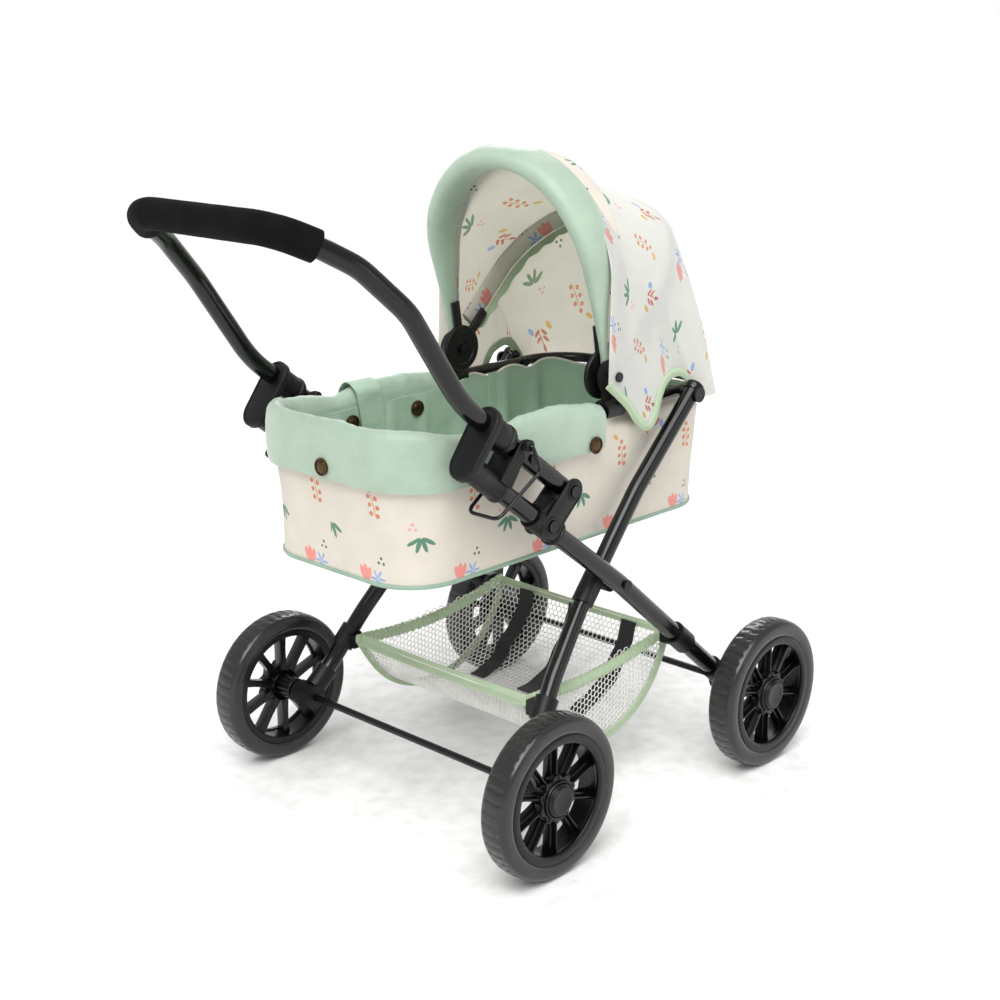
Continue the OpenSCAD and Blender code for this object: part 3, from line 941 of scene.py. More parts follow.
@dataclass(frozen=True)
class PrintedCanvas(Weave):
    """Cream canvas with a sparse flower print in rows.

    Attributes:
        glow: Share of the light that soaks through the cloth.
    """

    glow: float = 0.0

    def mask(self, graph: Graph, where: bpy.types.NodeSocket, marks: list[Mark]) -> bpy.types.NodeSocket:
        """Where any of some marks lies.

        Args:
            graph: The graph to add it to.
            where: Millimetres within the repeat.
            marks: The marks.

        Returns:
            1 inside a mark and 0 outside.
        """
        nearest = None
        for mark in marks:
            mapping = graph.add(
                "Mapping",
                {
                    "Vector": where,
                    "Location": (mark.x, mark.y, 0.0),
                    "Rotation": (0.0, 0.0, math.radians(mark.turn)),
                    "Scale": (mark.length / 2, mark.width / 2, 1.0),
                },
                vector_type="TEXTURE",
            )
            reach = graph.add("VectorMath", {0: mapping.outputs[0]}, operation="LENGTH").outputs["Value"]
            nearest = reach if nearest is None else graph.math("MINIMUM", nearest, reach)
        return graph.span(nearest, 1.0, 0.86)

    def paint(self, graph: Graph) -> None:
        """Sets up the material's shader.

        Args:
            graph: The material's graph.
        """
        width, height = REPEAT
        where = graph.add("SeparateXYZ", {0: graph.place("UV")})
        wobble = graph.add("TexNoise", {"Vector": graph.place("UV"), "Scale": 240.0, "Detail": 1.0}).outputs[0]
        shift = graph.math("MULTIPLY_ADD", wobble, 1.0, -0.5)
        u = graph.math("MULTIPLY_ADD", where.outputs[0], 1000.0, shift)
        v = graph.math("MULTIPLY_ADD", where.outputs[1], 1000.0, shift)
        tile = graph.add(
            "CombineXYZ",
            {
                0: graph.math("FLOORED_MODULO", u, width),
                1: graph.math("FLOORED_MODULO", v, height),
                2: 0.0,
            },
        ).outputs[0]
        base = linear(self.colour)
        darker = tuple(c * 0.93 for c in base[:3]) + (1.0,)
        tint = graph.mix(graph.span(graph.grain(40.0), 0.35, 0.7), base, darker)
        for colour, marks in PRINT.items():
            tint = graph.mix(graph.math("MULTIPLY", self.mask(graph, tile, marks), 0.92), tint, linear(colour))
        graph.set(Roughness=self.roughness, Sheen_Weight=self.sheen, Sheen_Roughness=0.5)
        graph.set(Subsurface_Weight=self.glow, Subsurface_Scale=0.006, Subsurface_Radius=(1.0, 0.92, 0.8))
        graph.feed("Base Color", tint)
        graph.bump(self.cloth(graph), self.crimp)
        graph.bump(graph.grain(70.0, 3.0), 0.0012, 0.5)


GLOSS_TUBE = Finish("gloss_black_tube", "060607", roughness=0.16, spread=0.04, coat=0.1, gleam=0.4)
DARK_RIVET = Finish("dark_rivet_steel", "3a3b3e", roughness=0.28, metallic=1.0)
MATTE_PLASTIC = Finish("moulded_black_plastic", "08080a", roughness=0.42, gleam=0.35, grain=900.0, relief=0.00006)
WHEEL_PLASTIC = Finish("wheel_black_plastic", "050506", gleam=0.35, roughness=0.3, grain=700.0, relief=0.00004)
TYRE_RUBBER = Finish(
    "tyre_rubber", "050506", roughness=0.25, spread=0.07, coat=0.08, gleam=0.4, grain=1200.0, relief=0.00003
)
GRIP_FOAM = Finish("grip_foam", "0b0b0c", roughness=0.92, grain=1300.0, relief=0.0004, gleam=0.15)
BRASS_SNAP = Finish("antique_brass_snap", "5a4a33", roughness=0.32, metallic=1.0)
BOARD = Finish("floor_board", "d9d2c2", roughness=0.7)
CREAM_PIPING = Weave("cream_piping", "f3eee2", roughness=0.8, sheen=0.2, pitch=0.0007)
PRINTED = PrintedCanvas("printed_canvas", "ddd6c9", roughness=0.86, sheen=0.2)
HOOD_CANVAS = PrintedCanvas("hood_canvas", "e6e0d3", roughness=0.86, sheen=0.1, glow=0.9)
MINT = Weave("mint_cotton", "afc9b3", roughness=0.7, sheen=0.2, pitch=0.0007, crimp=0.00008)
GREEN_BINDING = Weave("green_binding", "b3c8a6", roughness=0.72, sheen=0.3, pitch=0.0012, crimp=0.00012)
BLACK_WEBBING = Weave("black_webbing", "17171a", roughness=0.75, sheen=0.1, pitch=0.0016, crimp=0.0003)
WHITE_NET = Finish("white_net", "f2f2ee", roughness=0.7, sheen=0.2)
STUDIO_FLOOR = Finish("studio_floor", "fafaf9", roughness=0.9, spread=0.02)
SAGE_WELT = Weave("sage_welt", "93b09b", roughness=0.7, sheen=0.3, pitch=0.0009)
MINT_SATIN = Weave("mint_satin", "a9bfab", roughness=0.42, sheen=0.3, pitch=0.0005, crimp=0.00004, coat=0.12)


# ---------------------------------------------------------------- workshop


@dataclass(frozen=True)
class Shop:
    """Turns shells into finished pieces on the frame.

    Attributes:
        gauge: The frame's gauge.
    """

    gauge: Gauge

    def build(
        self,
        shell: Shell,
        name: str,
        finish: Finish,
        crease: float = 35.0,
        thickness: float = 0.0,
        lift: float = 0.0,
    ) -> bpy.types.Object:
        """Makes an object from a shell.

        Args:
            shell: Points, faces and cloth coordinates in millimetres.
            name: The piece's name.
            finish: Its finish.
            crease: Edges sharper than this many degrees stay hard.
            thickness: Cloth thickness in millimetres, or 0 for a solid.
            lift: -1 thickens inwards, 1 outwards and 0 both ways.

        Returns:
            The object, in place in the part's frame.
        """
        mesh = bpy.data.meshes.new(name)
        rows = self.gauge.rows(np.array(shell.points))
        mesh.from_pydata(list(map(tuple, rows)), [], shell.faces)
        layer = mesh.uv_layers.new(name="cloth")
        index = np.zeros(len(mesh.loops), dtype=np.int64)
        mesh.loops.foreach_get("vertex_index", index)
        layer.data.foreach_set("uv", (np.array(shell.uvs)[index] * MM).ravel())
        obj = bpy.data.objects.new(name, mesh)
        bpy.context.scene.collection.objects.link(obj)
        self.weld(mesh)
        if thickness:
            solid = obj.modifiers.new("thickness", "SOLIDIFY")
            solid.thickness, solid.offset = thickness * MM, lift
            self.settle(obj)
        self.shade(obj, crease)
        obj.data.materials.clear()
        obj.data.materials.append(finish.build())
        return obj

    @staticmethod
    def weld(mesh: bpy.types.Mesh) -> None:
        """Joins points that coincide and turns all faces the same way.

        Args:
            mesh: The mesh to change.
        """
        work = bmesh.new()
        work.from_mesh(mesh)
        bmesh.ops.remove_doubles(work, verts=work.verts, dist=2e-6)
        bmesh.ops.recalc_face_normals(work, faces=work.faces)
        work.to_mesh(mesh)
        work.free()

    @staticmethod
    def settle(obj: bpy.types.Object) -> None:
        """Bakes an object's modifiers into its mesh.

        Args:
            obj: The object to change.
        """
        shaped = obj.evaluated_get(bpy.context.evaluated_depsgraph_get())
        mesh = bpy.data.meshes.new_from_object(shaped)
        obj.modifiers.clear()
        obj.data = mesh

    @staticmethod
    def shade(obj: bpy.types.Object, crease: float) -> None:
        """Smooths an object's faces, with hard edges above an angle in degrees.

        Args:
            obj: The object to change.
            crease: The angle in degrees.
        """
        obj.data.polygons.foreach_set("use_smooth", [True] * len(obj.data.polygons))
        obj.data.set_sharp_from_angle(angle=math.radians(crease))
        obj.data.update()

    @staticmethod
    def mount(obj: bpy.types.Object, body: str, slot: str, *nodes: str) -> bpy.types.Object:
        """Puts a finished piece on its body.

        Args:
            obj: The piece.
            body: The body it moves with.
            slot: The record's material slot; not used.
            *nodes: CAD nodes that it stands for.

        Returns:
            The piece.
        """
        if nodes:
            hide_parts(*nodes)
        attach(obj, body)
        LOG.info("%s on %s, %d faces", obj.name, body, len(obj.data.polygons))
        return obj

    def piece(
        self, shell: Shell, name: str, finish: Finish, crease: float, body: str, slot: str, *nodes: str, **cloth: float
    ) -> bpy.types.Object:
        """Builds a piece and mounts it.

        Args:
            shell: Its points and faces.
            name: Its name.
            finish: Its finish.
            crease: Edges sharper than this many degrees stay hard.
            body: The body it moves with.
            slot: The record's material slot.
            *nodes: CAD nodes that it stands for.
            **cloth: thickness and lift of build.

        Returns:
            The piece.
        """
        return self.mount(self.build(shell, name, finish, crease, **cloth), body, slot, *nodes)


# ---------------------------------------------------------------- wheels


@dataclass(frozen=True)
class Wheels:
    """Four moulded wheels with treaded tyres and snap-on hub caps.

    Attributes:
        shop: The workshop.
        tyre_r: Tyre radius.
        tyre_w: Tyre width.
        rim_r: Radius where the tyre sits on the rim.
        track: Distance between the wheels' middle planes.
        wheelbase: Distance between the axles.
        spokes: Number of spokes.
        grooves: Number of tread grooves.
    """

    shop: Shop
    tyre_r: float = 65.0
    tyre_w: float = 25.0
    rim_r: float = 51.9
    track: float = 318.0
    wheelbase: float = 276.0
    spokes: int = 10
    grooves: int = 46

    def seat(self, shell: Shell, end: End, side: Side) -> Shell:
        """Moves a shell from the wheel's own axes, z outwards, to its axle."""
        x = self.wheelbase if end is End.FRONT else 0.0
        return placed(shell, (x, side.value * self.track / 2, self.tyre_r), (1, 0, 0), (0, 0, -side.value))

    def tyre(self) -> Shell:
        """The tyre: a squared tube with swept grooves across its tread.

        Returns:
            The shell, in millimetres.
        """
        turn = full_turn(self.grooves * 9)
        around = np.linspace(-math.pi, math.pi, 46, endpoint=False)
        half_d = 8.0
        radius = self.tyre_r - half_d + half_d * squarer(np.cos(around), 0.62)
        height = self.tyre_w / 2 * squarer(np.sin(around), 0.62)
        radius = np.maximum(radius, self.rim_r - 0.4)
        bead = np.exp(-(((radius - 55.0) / 0.7) ** 2)) * 0.5
        height = height + np.sign(height) * bead * (np.abs(height) > self.tyre_w * 0.4) * 0.6
        across = height / (self.tyre_w / 2)
        phase = turn[:, None] * self.grooves / (2 * math.pi) + 0.55 * np.sin(2.6 * across)[None]
        cut = 1 - smooth_step((np.abs((phase % 1.0) - 0.5) - 0.09) / 0.12)
        crown = smooth_step((radius - self.tyre_r + 0.9) / 0.7)[None]
        tread = crown * smooth_step((np.abs(across) - 0.04) / 0.06)[None]
        radius = radius[None] - 0.8 * cut * tread
        x, y = radius * np.cos(turn)[:, None], radius * np.sin(turn)[:, None]
        points = np.stack([x, y, height[None] + 0 * radius], -1)
        return sheet_shell(points, None, wrap_rows=True, wrap_cols=True)

    def rim(self) -> Shell:
        """The rim's barrel with its rolled outer lip.

        Returns:
            The shell, in millimetres.
        """
        profile = [
            (self.rim_r, -10.6), (51.0, -11.4), (46.6, -11.0), (45.7, -10.0), (45.4, 0.0), (45.5, 6.4),
            (44.6, 7.2), (44.1, 8.2), (44.1, 10.6), (44.7, 11.5), (46.0, 11.9), (50.4, 12.1), (51.5, 11.6),
            (self.rim_r, 10.8), (self.rim_r, -10.6),
        ]  # fmt: skip
        return lathe(profile, 120)

    def spoke(self) -> Shell:
        """One spoke: a tapered bar with a raised rib on its face.

        Returns:
            The shell, in millimetres.
        """
        reach = np.linspace(14.0, 46.0, 14)
        waist = 1 - 0.26 * np.sin(math.pi * (reach - 14.0) / 32.0)
        section = np.array([
            (-3.9, -4.0), (-3.9, 2.2), (-3.5, 2.9), (-1.7, 3.3), (-1.3, 3.9), (-1.1, 6.9), (-0.7, 7.5), (0.7, 7.5),
            (1.1, 6.9), (1.3, 3.9), (1.7, 3.3), (3.5, 2.9), (3.9, 2.2), (3.9, -4.0),
        ])  # fmt: skip
        points = np.stack(
            [
                np.broadcast_to(reach[:, None], (len(reach), len(section))),
                waist[:, None] * section[None, :, 0],
                np.broadcast_to(section[None, :, 1], (len(reach), len(section))),
            ],
            -1,
        )
        return cap_ends(sheet_shell(points, None, wrap_cols=True), len(section))

    def star(self) -> Shell:
        """The scalloped hub plate with a ring of small holes around the cap.

        Returns:
            The shell, in millimetres.
        """
        turn = full_turn(200)
        radius = 18.6 + 1.5 * np.cos(self.spokes * turn + math.pi)
        return slab(np.stack([radius * np.cos(turn), radius * np.sin(turn)], 1), 0.5, 9.0, 0.9)

    def hub(self) -> Shell:
        """The hub's inner sleeve and the raised ring around the cap.

        Returns:
            The shell, in millimetres.
        """
        barrel = [(3.1, -20.8), (8.8, -20.8), (9.8, -19.8), (10.0, -2.0), (12.5, 0.8), (3.1, 0.8), (3.1, -20.8)]
        lip = [(13.6, 8.8), (13.6, 10.6), (14.1, 11.1), (15.0, 11.0), (15.5, 10.2), (15.6, 8.8), (13.6, 8.8)]
        sleeve, ring = lathe(barrel, 48), lathe(lip, 72)
        sleeve.join(ring)
        return sleeve

    def dimples(self) -> Shell:
        """Five shallow eyelets on the hub plate.

        Returns:
            The shell, in millimetres.
        """
        shell = Shell()
        for k in range(5):
            turn = 2 * math.pi * k / 5 + 0.3
            eye = lathe([(0.9, 9.0), (0.9, 9.35), (1.25, 9.55), (1.65, 9.4), (1.75, 9.0), (0.9, 9.0)], 20)
            points = np.array(eye.points) + (17.2 * math.cos(turn), 17.2 * math.sin(turn), 0)
            shell.add(points, eye.faces)
        return shell

    def cap(self) -> Shell:
        """The hub cap: a stepped dome with a soft dished face.

        Returns:
            The shell, in millimetres.
        """
        return lathe(
            [
                (0.0, 8.5), (13.2, 8.5), (13.2, 11.2), (12.8, 12.0), (12.0, 12.4), (11.6, 12.6), (11.4, 13.2),
                (10.9, 13.75), (10.0, 13.8), (8.4, 13.5), (5.0, 13.25), (0.0, 13.2),
            ],
            72,
        )  # fmt: skip

    def dress(self) -> None:
        """Builds all four wheels."""
        body_shell = self.rim()
        for k in range(self.spokes):
            turn = 2 * math.pi * (k + 0.5) / self.spokes
            c, s = math.cos(turn), math.sin(turn)
            body_shell.join(placed(self.spoke(), (0, 0, 0), (c, s, 0), (-s, c, 0)))
        for extra in (self.star(), self.hub(), self.dimples()):
            body_shell.join(extra)
        parts = (
            (self.tyre(), "treaded_tyre", TYRE_RUBBER, 50, "tyre_rubber", "tyre"),
            (body_shell, "spoked_wheel", WHEEL_PLASTIC, 40, "wheel_plastic", "wheel"),
            (self.cap(), "hub_cap", WHEEL_PLASTIC, 45, "wheel_plastic", "hub_caps"),
        )
        for end in End:
            for side in Side:
                tag, body = f"{end.value}_{side.word}", f"{end.value}_wheel_{side.word}"
                for shell, name, finish, crease, slot, node in parts:
                    seated = self.seat(shell, end, side)
                    self.shop.piece(seated, f"{name}_{tag}", finish, crease, body, slot, f"{node}_{tag}")


# ---------------------------------------------------------------- frame


@dataclass(frozen=True)
class Hinge:
    """The straight tubes' own axes at the handle hinge.

    Attributes:
        x: Hinge distance in front of the rear axle.
        z: Hinge height.
        tilt: Slope of the tubes in degrees.
        pitch: Distance between the handle tube and the leg tube.
        half_w: Distance of both tubes from the middle plane.
    """

    x: float = 60.5
    z: float = 284.6
    tilt: float = 37.5
    pitch: float = 32.5
    half_w: float = 118.0

    @property
    def along(self) -> np.ndarray:
        """Direction down the tubes."""
        turn = math.radians(self.tilt)
        return np.array([math.cos(turn), 0.0, -math.sin(turn)])

    @property
    def across(self) -> np.ndarray:
        """Direction from the leg tube to the handle tube."""
        turn = math.radians(self.tilt)
        return np.array([math.sin(turn), 0.0, math.cos(turn)])

    def point(self, along: float, across: float, out: float = 0.0) -> np.ndarray:
        """A place beside the left hinge.

        Args:
            along: Distance down the tubes.
            across: Distance towards the handle tube and beyond.
            out: Distance outwards from the tubes' plane.

        Returns:
            The place in millimetres.
        """
        return np.array([self.x, self.half_w + out, self.z]) + along * self.along + across * self.across

    def seat(self, shell: Shell, along: float = 0.0, across: float = 0.0) -> Shell:
        """Moves a shell whose x runs down the tubes and y outwards; z is then across."""
        return placed(shell, self.point(along, across), self.along, (0, 1, 0))


@dataclass(frozen=True)
class Frame:
    """Steel tubes, the folding joints and the handle.

    Attributes:
        shop: The workshop.
        hinge: The hinge's axes.
        main_r: Radius of the front legs and the handle tube.
        rear_r: Radius of the rear legs.
        grip_r: Radius of the foam grip.
        leg_end: Upper end of the front leg, along the tubes.
        crossing: Where the front leg bends, along the tubes.
        clip: Where the wire pivots, along the tubes.
        axle_z: Axle height.
        wheelbase: Distance between the axles.
    """

    shop: Shop
    hinge: Hinge = Hinge()
    main_r: float = 7.5
    rear_r: float = 7.0
    grip_r: float = 11.5
    leg_end: float = -103.7
    crossing: float = 110.0
    clip: float = -71.0
    axle_z: float = 65.0
    wheelbase: float = 276.0

    def front_leg(self) -> Shell:
        """The left front leg, from its upper end to the front axle.

        Returns:
            The shell, in millimetres.
        """
        start = self.hinge.point(self.leg_end, -self.hinge.pitch)
        bend = self.hinge.point(self.crossing, -self.hinge.pitch)
        foot = np.array([self.wheelbase, self.hinge.half_w, self.axle_z])
        foot = foot - 12 * (foot - bend) / np.linalg.norm(foot - bend)
        return sweep(spaced(eased_path([start, bend, foot], 160), 6), self.main_r, 28)

    @staticmethod
    def rear_leg_line() -> np.ndarray:
        """The middle line of the left rear leg.

        Returns:
            The line, from the axle up.
        """
        corners = [
            (9, 121, 73), (25, 120, 88), (56, 112, 130), (96, 103.4, 175), (125, 102, 208), (165, 103, 259),
            (239, 104, 333),
        ]  # fmt: skip
        return spaced(eased_path(corners, 110), 5)

    def rear_leg(self) -> Shell:
        """The left rear leg with its rounded top plug.

        Returns:
            The shell, in millimetres.
        """
        line = self.rear_leg_line()
        shell = sweep(line, self.rear_r, 28)
        end = line[-1] - line[-2]
        end /= np.linalg.norm(end)
        side = np.array([0.0, 1.0, 0.0])
        plug = lathe([(0, -4), (7.9, -4), (8.2, -3), (8.2, 1.2), (7.6, 2.6), (5.8, 3.8), (3.0, 4.4), (0, 4.5)], 36)
        shell.join(placed(plug, line[-1] - 1.0 * end, side, np.cross(end, side)))
        return shell

    def handle_line(self) -> np.ndarray:
        """The middle line of the whole handle, from the left foot to the right.

        Returns:
            The line.
        """
        foot, bend = self.hinge.point(9, 0), self.hinge.point(-137, 0)
        left = [foot, bend, (-97, 118, 439), (-130, 107, 472), (-152, 94, 486), (-167, 80, 494.5), (-174, 62, 498)]
        right = [np.array(p, float) * (1, -1, 1) for p in reversed(left)]
        return spaced(eased_path([*left, *right], [110, 60, 50, 45, 32, 34, 34, 32, 45, 50, 60, 110]), 4)

    def grip(self) -> Shell:
        """The foam sleeve over the top of the handle.

        Returns:
            The shell, in millimetres.
        """
        line = self.handle_line()
        cover = line[line[:, 0] < -150.5]
        fine = spaced(cover, 1.5)
        lengths = np.linspace(0, run_lengths(cover)[-1], len(fine))
        edge = np.minimum(lengths, lengths[-1] - lengths)
        radius = self.grip_r - 3.4 * (1 - np.sqrt(np.clip(1 - (1 - np.clip(edge / 3.0, 0, 1)) ** 2, 0, 1)))
        radius = radius + 0.12 * ripple(fine, 14.0, 3.1)
        return sweep(fine, radius, 36)

    def wire(self) -> Shell:
        """The left pull wire, a closed loop that hangs from the two clip pivots.

        Returns:
            The shell, in millimetres.
        """
        knee, tip = (19.0, -10.0), (2.0, -59.0)
        half = [(0, 11.9, 0), (0, 17.4, 0), (knee[0], 17.4, knee[1]), (tip[0], 15.4, tip[1])]
        local = half + [(x, -y, z) for x, y, z in reversed(half)]
        corners = [self.hinge.point(self.clip + x, 4 + z, y) for x, y, z in local]
        line = spaced(eased_path(corners, [2.6, 5, 6, 6, 5, 2.6]), 1.5)
        return sweep(line, 1.45, 14)

    def knuckle(self) -> Shell:
        """The left sliding lock: a dished oval plate with a raised rim and a short collar.

        Returns:
            The shell, in millimetres.
        """
        pitch = self.hinge.pitch
        outline = pill(pitch, 13.6, 13.0, 26)
        plate = slab(outline, 0.0, 6.5, 1.4)
        rim = sweep(np.c_[outline * 0.93 + (pitch * 0.035, 0), np.zeros(len(outline))], 0.55, 8, closed=True)
        plate.join(rim)
        collar = [
            (7.6, 6.2), (10.6, 6.2), (10.9, 7.0), (10.9, 29.0), (10.4, 30.2), (9.4, 30.6), (7.6, 30.6), (7.6, 6.2),
        ]  # fmt: skip
        plate.join(lathe(collar, 40))
        ridge = lathe([(10.8, 24.0), (11.6, 24.6), (11.6, 27.4), (10.8, 28.0), (10.8, 24.0)], 40)
        plate.join(ridge)
        return placed(plate, self.hinge.point(-110.5, 0), -self.hinge.across, (0, 1, 0))

    def bracket(self) -> Shell:
        """The left dog-bone bracket: a sleeve on the leg and two ears around the handle's foot.

        Returns:
            The shell, in millimetres.
        """
        pitch, rivet = self.hinge.pitch, -6.0
        span = math.hypot(pitch, rivet)
        lean = math.atan2(-pitch, rivet)
        shell = Shell()
        outline = pill(span, 9.8, 9.8, 20)
        ridge = np.c_[outline * 0.86 + (span * 0.07, 0), np.zeros(len(outline))]
        for face in (1, -1):
            ear = slab(outline, 7.8, 10.3, 0.7)
            ear.join(sweep(ridge + (0, 0, 10.3), 0.6, 8, closed=True))
            rivet_seat = [(4.8, 10.0), (7.3, 10.0), (7.3, 10.7), (6.9, 11.1), (5.3, 11.1), (4.8, 10.7), (4.8, 10.0)]
            boss = lathe(rivet_seat, 32)
            ear.join(boss)
            far = np.array(boss.points) + (span, 0, 0)
            ear.add(far, boss.faces)
            turned = np.array(ear.points)
            local = np.stack(
                [
                    math.cos(lean) * turned[:, 0] - math.sin(lean) * turned[:, 1],
                    face * turned[:, 2],
                    math.sin(lean) * turned[:, 0] + math.cos(lean) * turned[:, 1],
                ],
                -1,
            )
            shell.add(local, ear.faces)
        sleeve = lathe([(7.6, 0), (9.4, 0), (10.0, 0.8), (10.0, 32.6), (9.4, 33.8), (7.6, 33.8), (7.6, 0)], 40)
        lips = lathe([(9.9, 29.0), (10.9, 29.6), (10.9, 32.0), (9.9, 32.6), (9.9, 29.0)], 40)
        sleeve.join(lips)
        shell.join(sleeve.turned((2, 1, 0), (-22.0, 0, -pitch)))
        web = slab(np.array([(-20, -pitch + 6), (6, -pitch + 6), (3, -12.5), (-13, -12.5)]), -7.6, 7.6, 0.8)
        shell.join(web.turned((0, 2, 1), (0, 0, 0)))
        return placed(shell, self.hinge.point(0, 0), self.hinge.along, (0, 1, 0))

    def clip_shell(self) -> Shell:
        """The left clip: a long sleeve on the leg, a cradle for the handle tube and two pivot barrels.

        Returns:
            The shell, in millimetres.
        """
        pitch = self.hinge.pitch
        shell = Shell()
        sleeve = lathe(
            [
                (7.6, 0), (9.6, 0), (10.2, 0.8), (10.2, 3.6), (9.7, 4.4), (9.7, 34.6), (10.3, 35.2), (10.3, 38.0),
                (9.7, 38.9), (7.6, 38.9), (7.6, 0),
            ],
            40,
        )  # fmt: skip
        shell.join(sleeve.turned((2, 1, 0), (self.leg_end, 0, -pitch)))
        foot = -pitch + 3
        outline = np.array([(-7.0, foot), (7.0, foot), (5.4, -2), (4.6, 5.4), (0, 8.4), (-4.6, 5.4), (-5.4, -2)])
        outline = spaced(eased_path([*outline, outline[0]], 2.5, 1.0), 1.2)[:-1]
        for face in (1, -1):
            arm = slab(outline, 7.9, 10.4, 0.6)
            shell.join(arm.turned((0, 2, 1), (self.clip, 0, 0), face))
            barrel = lathe(
                [(1.6, 10.2), (4.3, 10.2), (4.3, 12.0), (3.5, 12.5), (3.5, 13.2), (4.3, 13.7), (4.3, 15.0), (3.8, 15.6),
                 (1.6, 15.6), (1.6, 10.2)],
                28,
            )  # fmt: skip
            shell.join(barrel.turned((0, 2, 1), (self.clip, 0, 4), face))
        web = slab(np.array([(-6, -pitch + 5), (6, -pitch + 5), (6, -9.4), (-6, -9.4)]), -8.4, 8.4, 0.8)
        shell.join(web.turned((0, 2, 1), (self.clip, 0, 0)))
        return placed(shell, self.hinge.point(0, 0), self.hinge.along, (0, 1, 0))

    def dress_kept(self, loaded: dict) -> None:
        """Gives the CAD pieces that stay their finishes and softened edges.
        """
        plastic = (
            "front_axle_blocks", "rear_axle_blocks", "cross_pivot_saddles", "cot_studs", "basket_clamps_front",
            "basket_clamps_rear", "rail_lugs", "hood_clamps", "hood_front_bow",
        )  # fmt: skip
        metal = (
            "axle_washers_front", "axle_washers_rear", "cross_pivot_bolts", "hinge_rivets", "clamp_screws_front",
            "clamp_screws_rear", "rail_pivot_bolts", "hood_screws", "front_axle", "rear_axle",
        )  # fmt: skip
        for names, finish in ((plastic, MATTE_PLASTIC), (metal, DARK_RIVET), (("cot_floor_board",), BOARD)):
            for name in names:
                obj = loaded["nodes"][name]
                for spot in obj.material_slots:
                    spot.material = finish.build()
                bevel = obj.modifiers.new("softened_edges", "BEVEL")
                bevel.width, bevel.segments, bevel.limit_method = 0.45 * MM, 2, "ANGLE"
                bevel.angle_limit = math.radians(38)
                bevel.harden_normals = False
                LOG.info("%s kept, %s", name, finish.name)

    def dress(self, loaded: dict) -> None:
        """Builds every tube and joint piece.
        """
        shop = self.shop
        chassis, rear = Body.CHASSIS.value, Body.REAR_FRAME.value
        pairs = (
            (self.front_leg(), "front_leg_tube", GLOSS_TUBE, 60, chassis, "tube_black", "front_leg"),
            (self.rear_leg(), "rear_leg_tube", GLOSS_TUBE, 50, rear, "tube_black", "rear_leg"),
            (self.wire(), "pull_wire", GLOSS_TUBE, 60, "wire_{}", "tube_black", "latch_wire"),
            (self.knuckle(), "sliding_lock", MATTE_PLASTIC, 40, "lock_{}", "plastic_black", "knuckle"),
            (self.clip_shell(), "leg_clip", MATTE_PLASTIC, 40, chassis, "plastic_black", "leg_clips"),
        )
        for side in Side:
            word = side.word
            for shell, name, finish, crease, body, slot, node in pairs:
                here = on_side(shell, side)
                shop.piece(here, f"{name}_{word}", finish, crease, body.format(word), slot, f"{node}_{word}")
        both = self.bracket()
        both.join(mirrored(self.bracket()))
        shop.piece(both, "dog_bone_brackets", MATTE_PLASTIC, 40, chassis, "plastic_black", "hinge_brackets")
        bow = sweep(self.handle_line(), self.main_r, 28)
        shop.piece(bow, "handle_bow", GLOSS_TUBE, 60, Body.HANDLE.value, "tube_black", "handle_tube")
        grip = shop.build(self.grip(), "foam_handle_sleeve", GRIP_FOAM, 60)
        shop.mount(grip, Body.HANDLE.value, "foam", "foam_grip")
        self.dress_kept(loaded)


# ---------------------------------------------------------------- basket


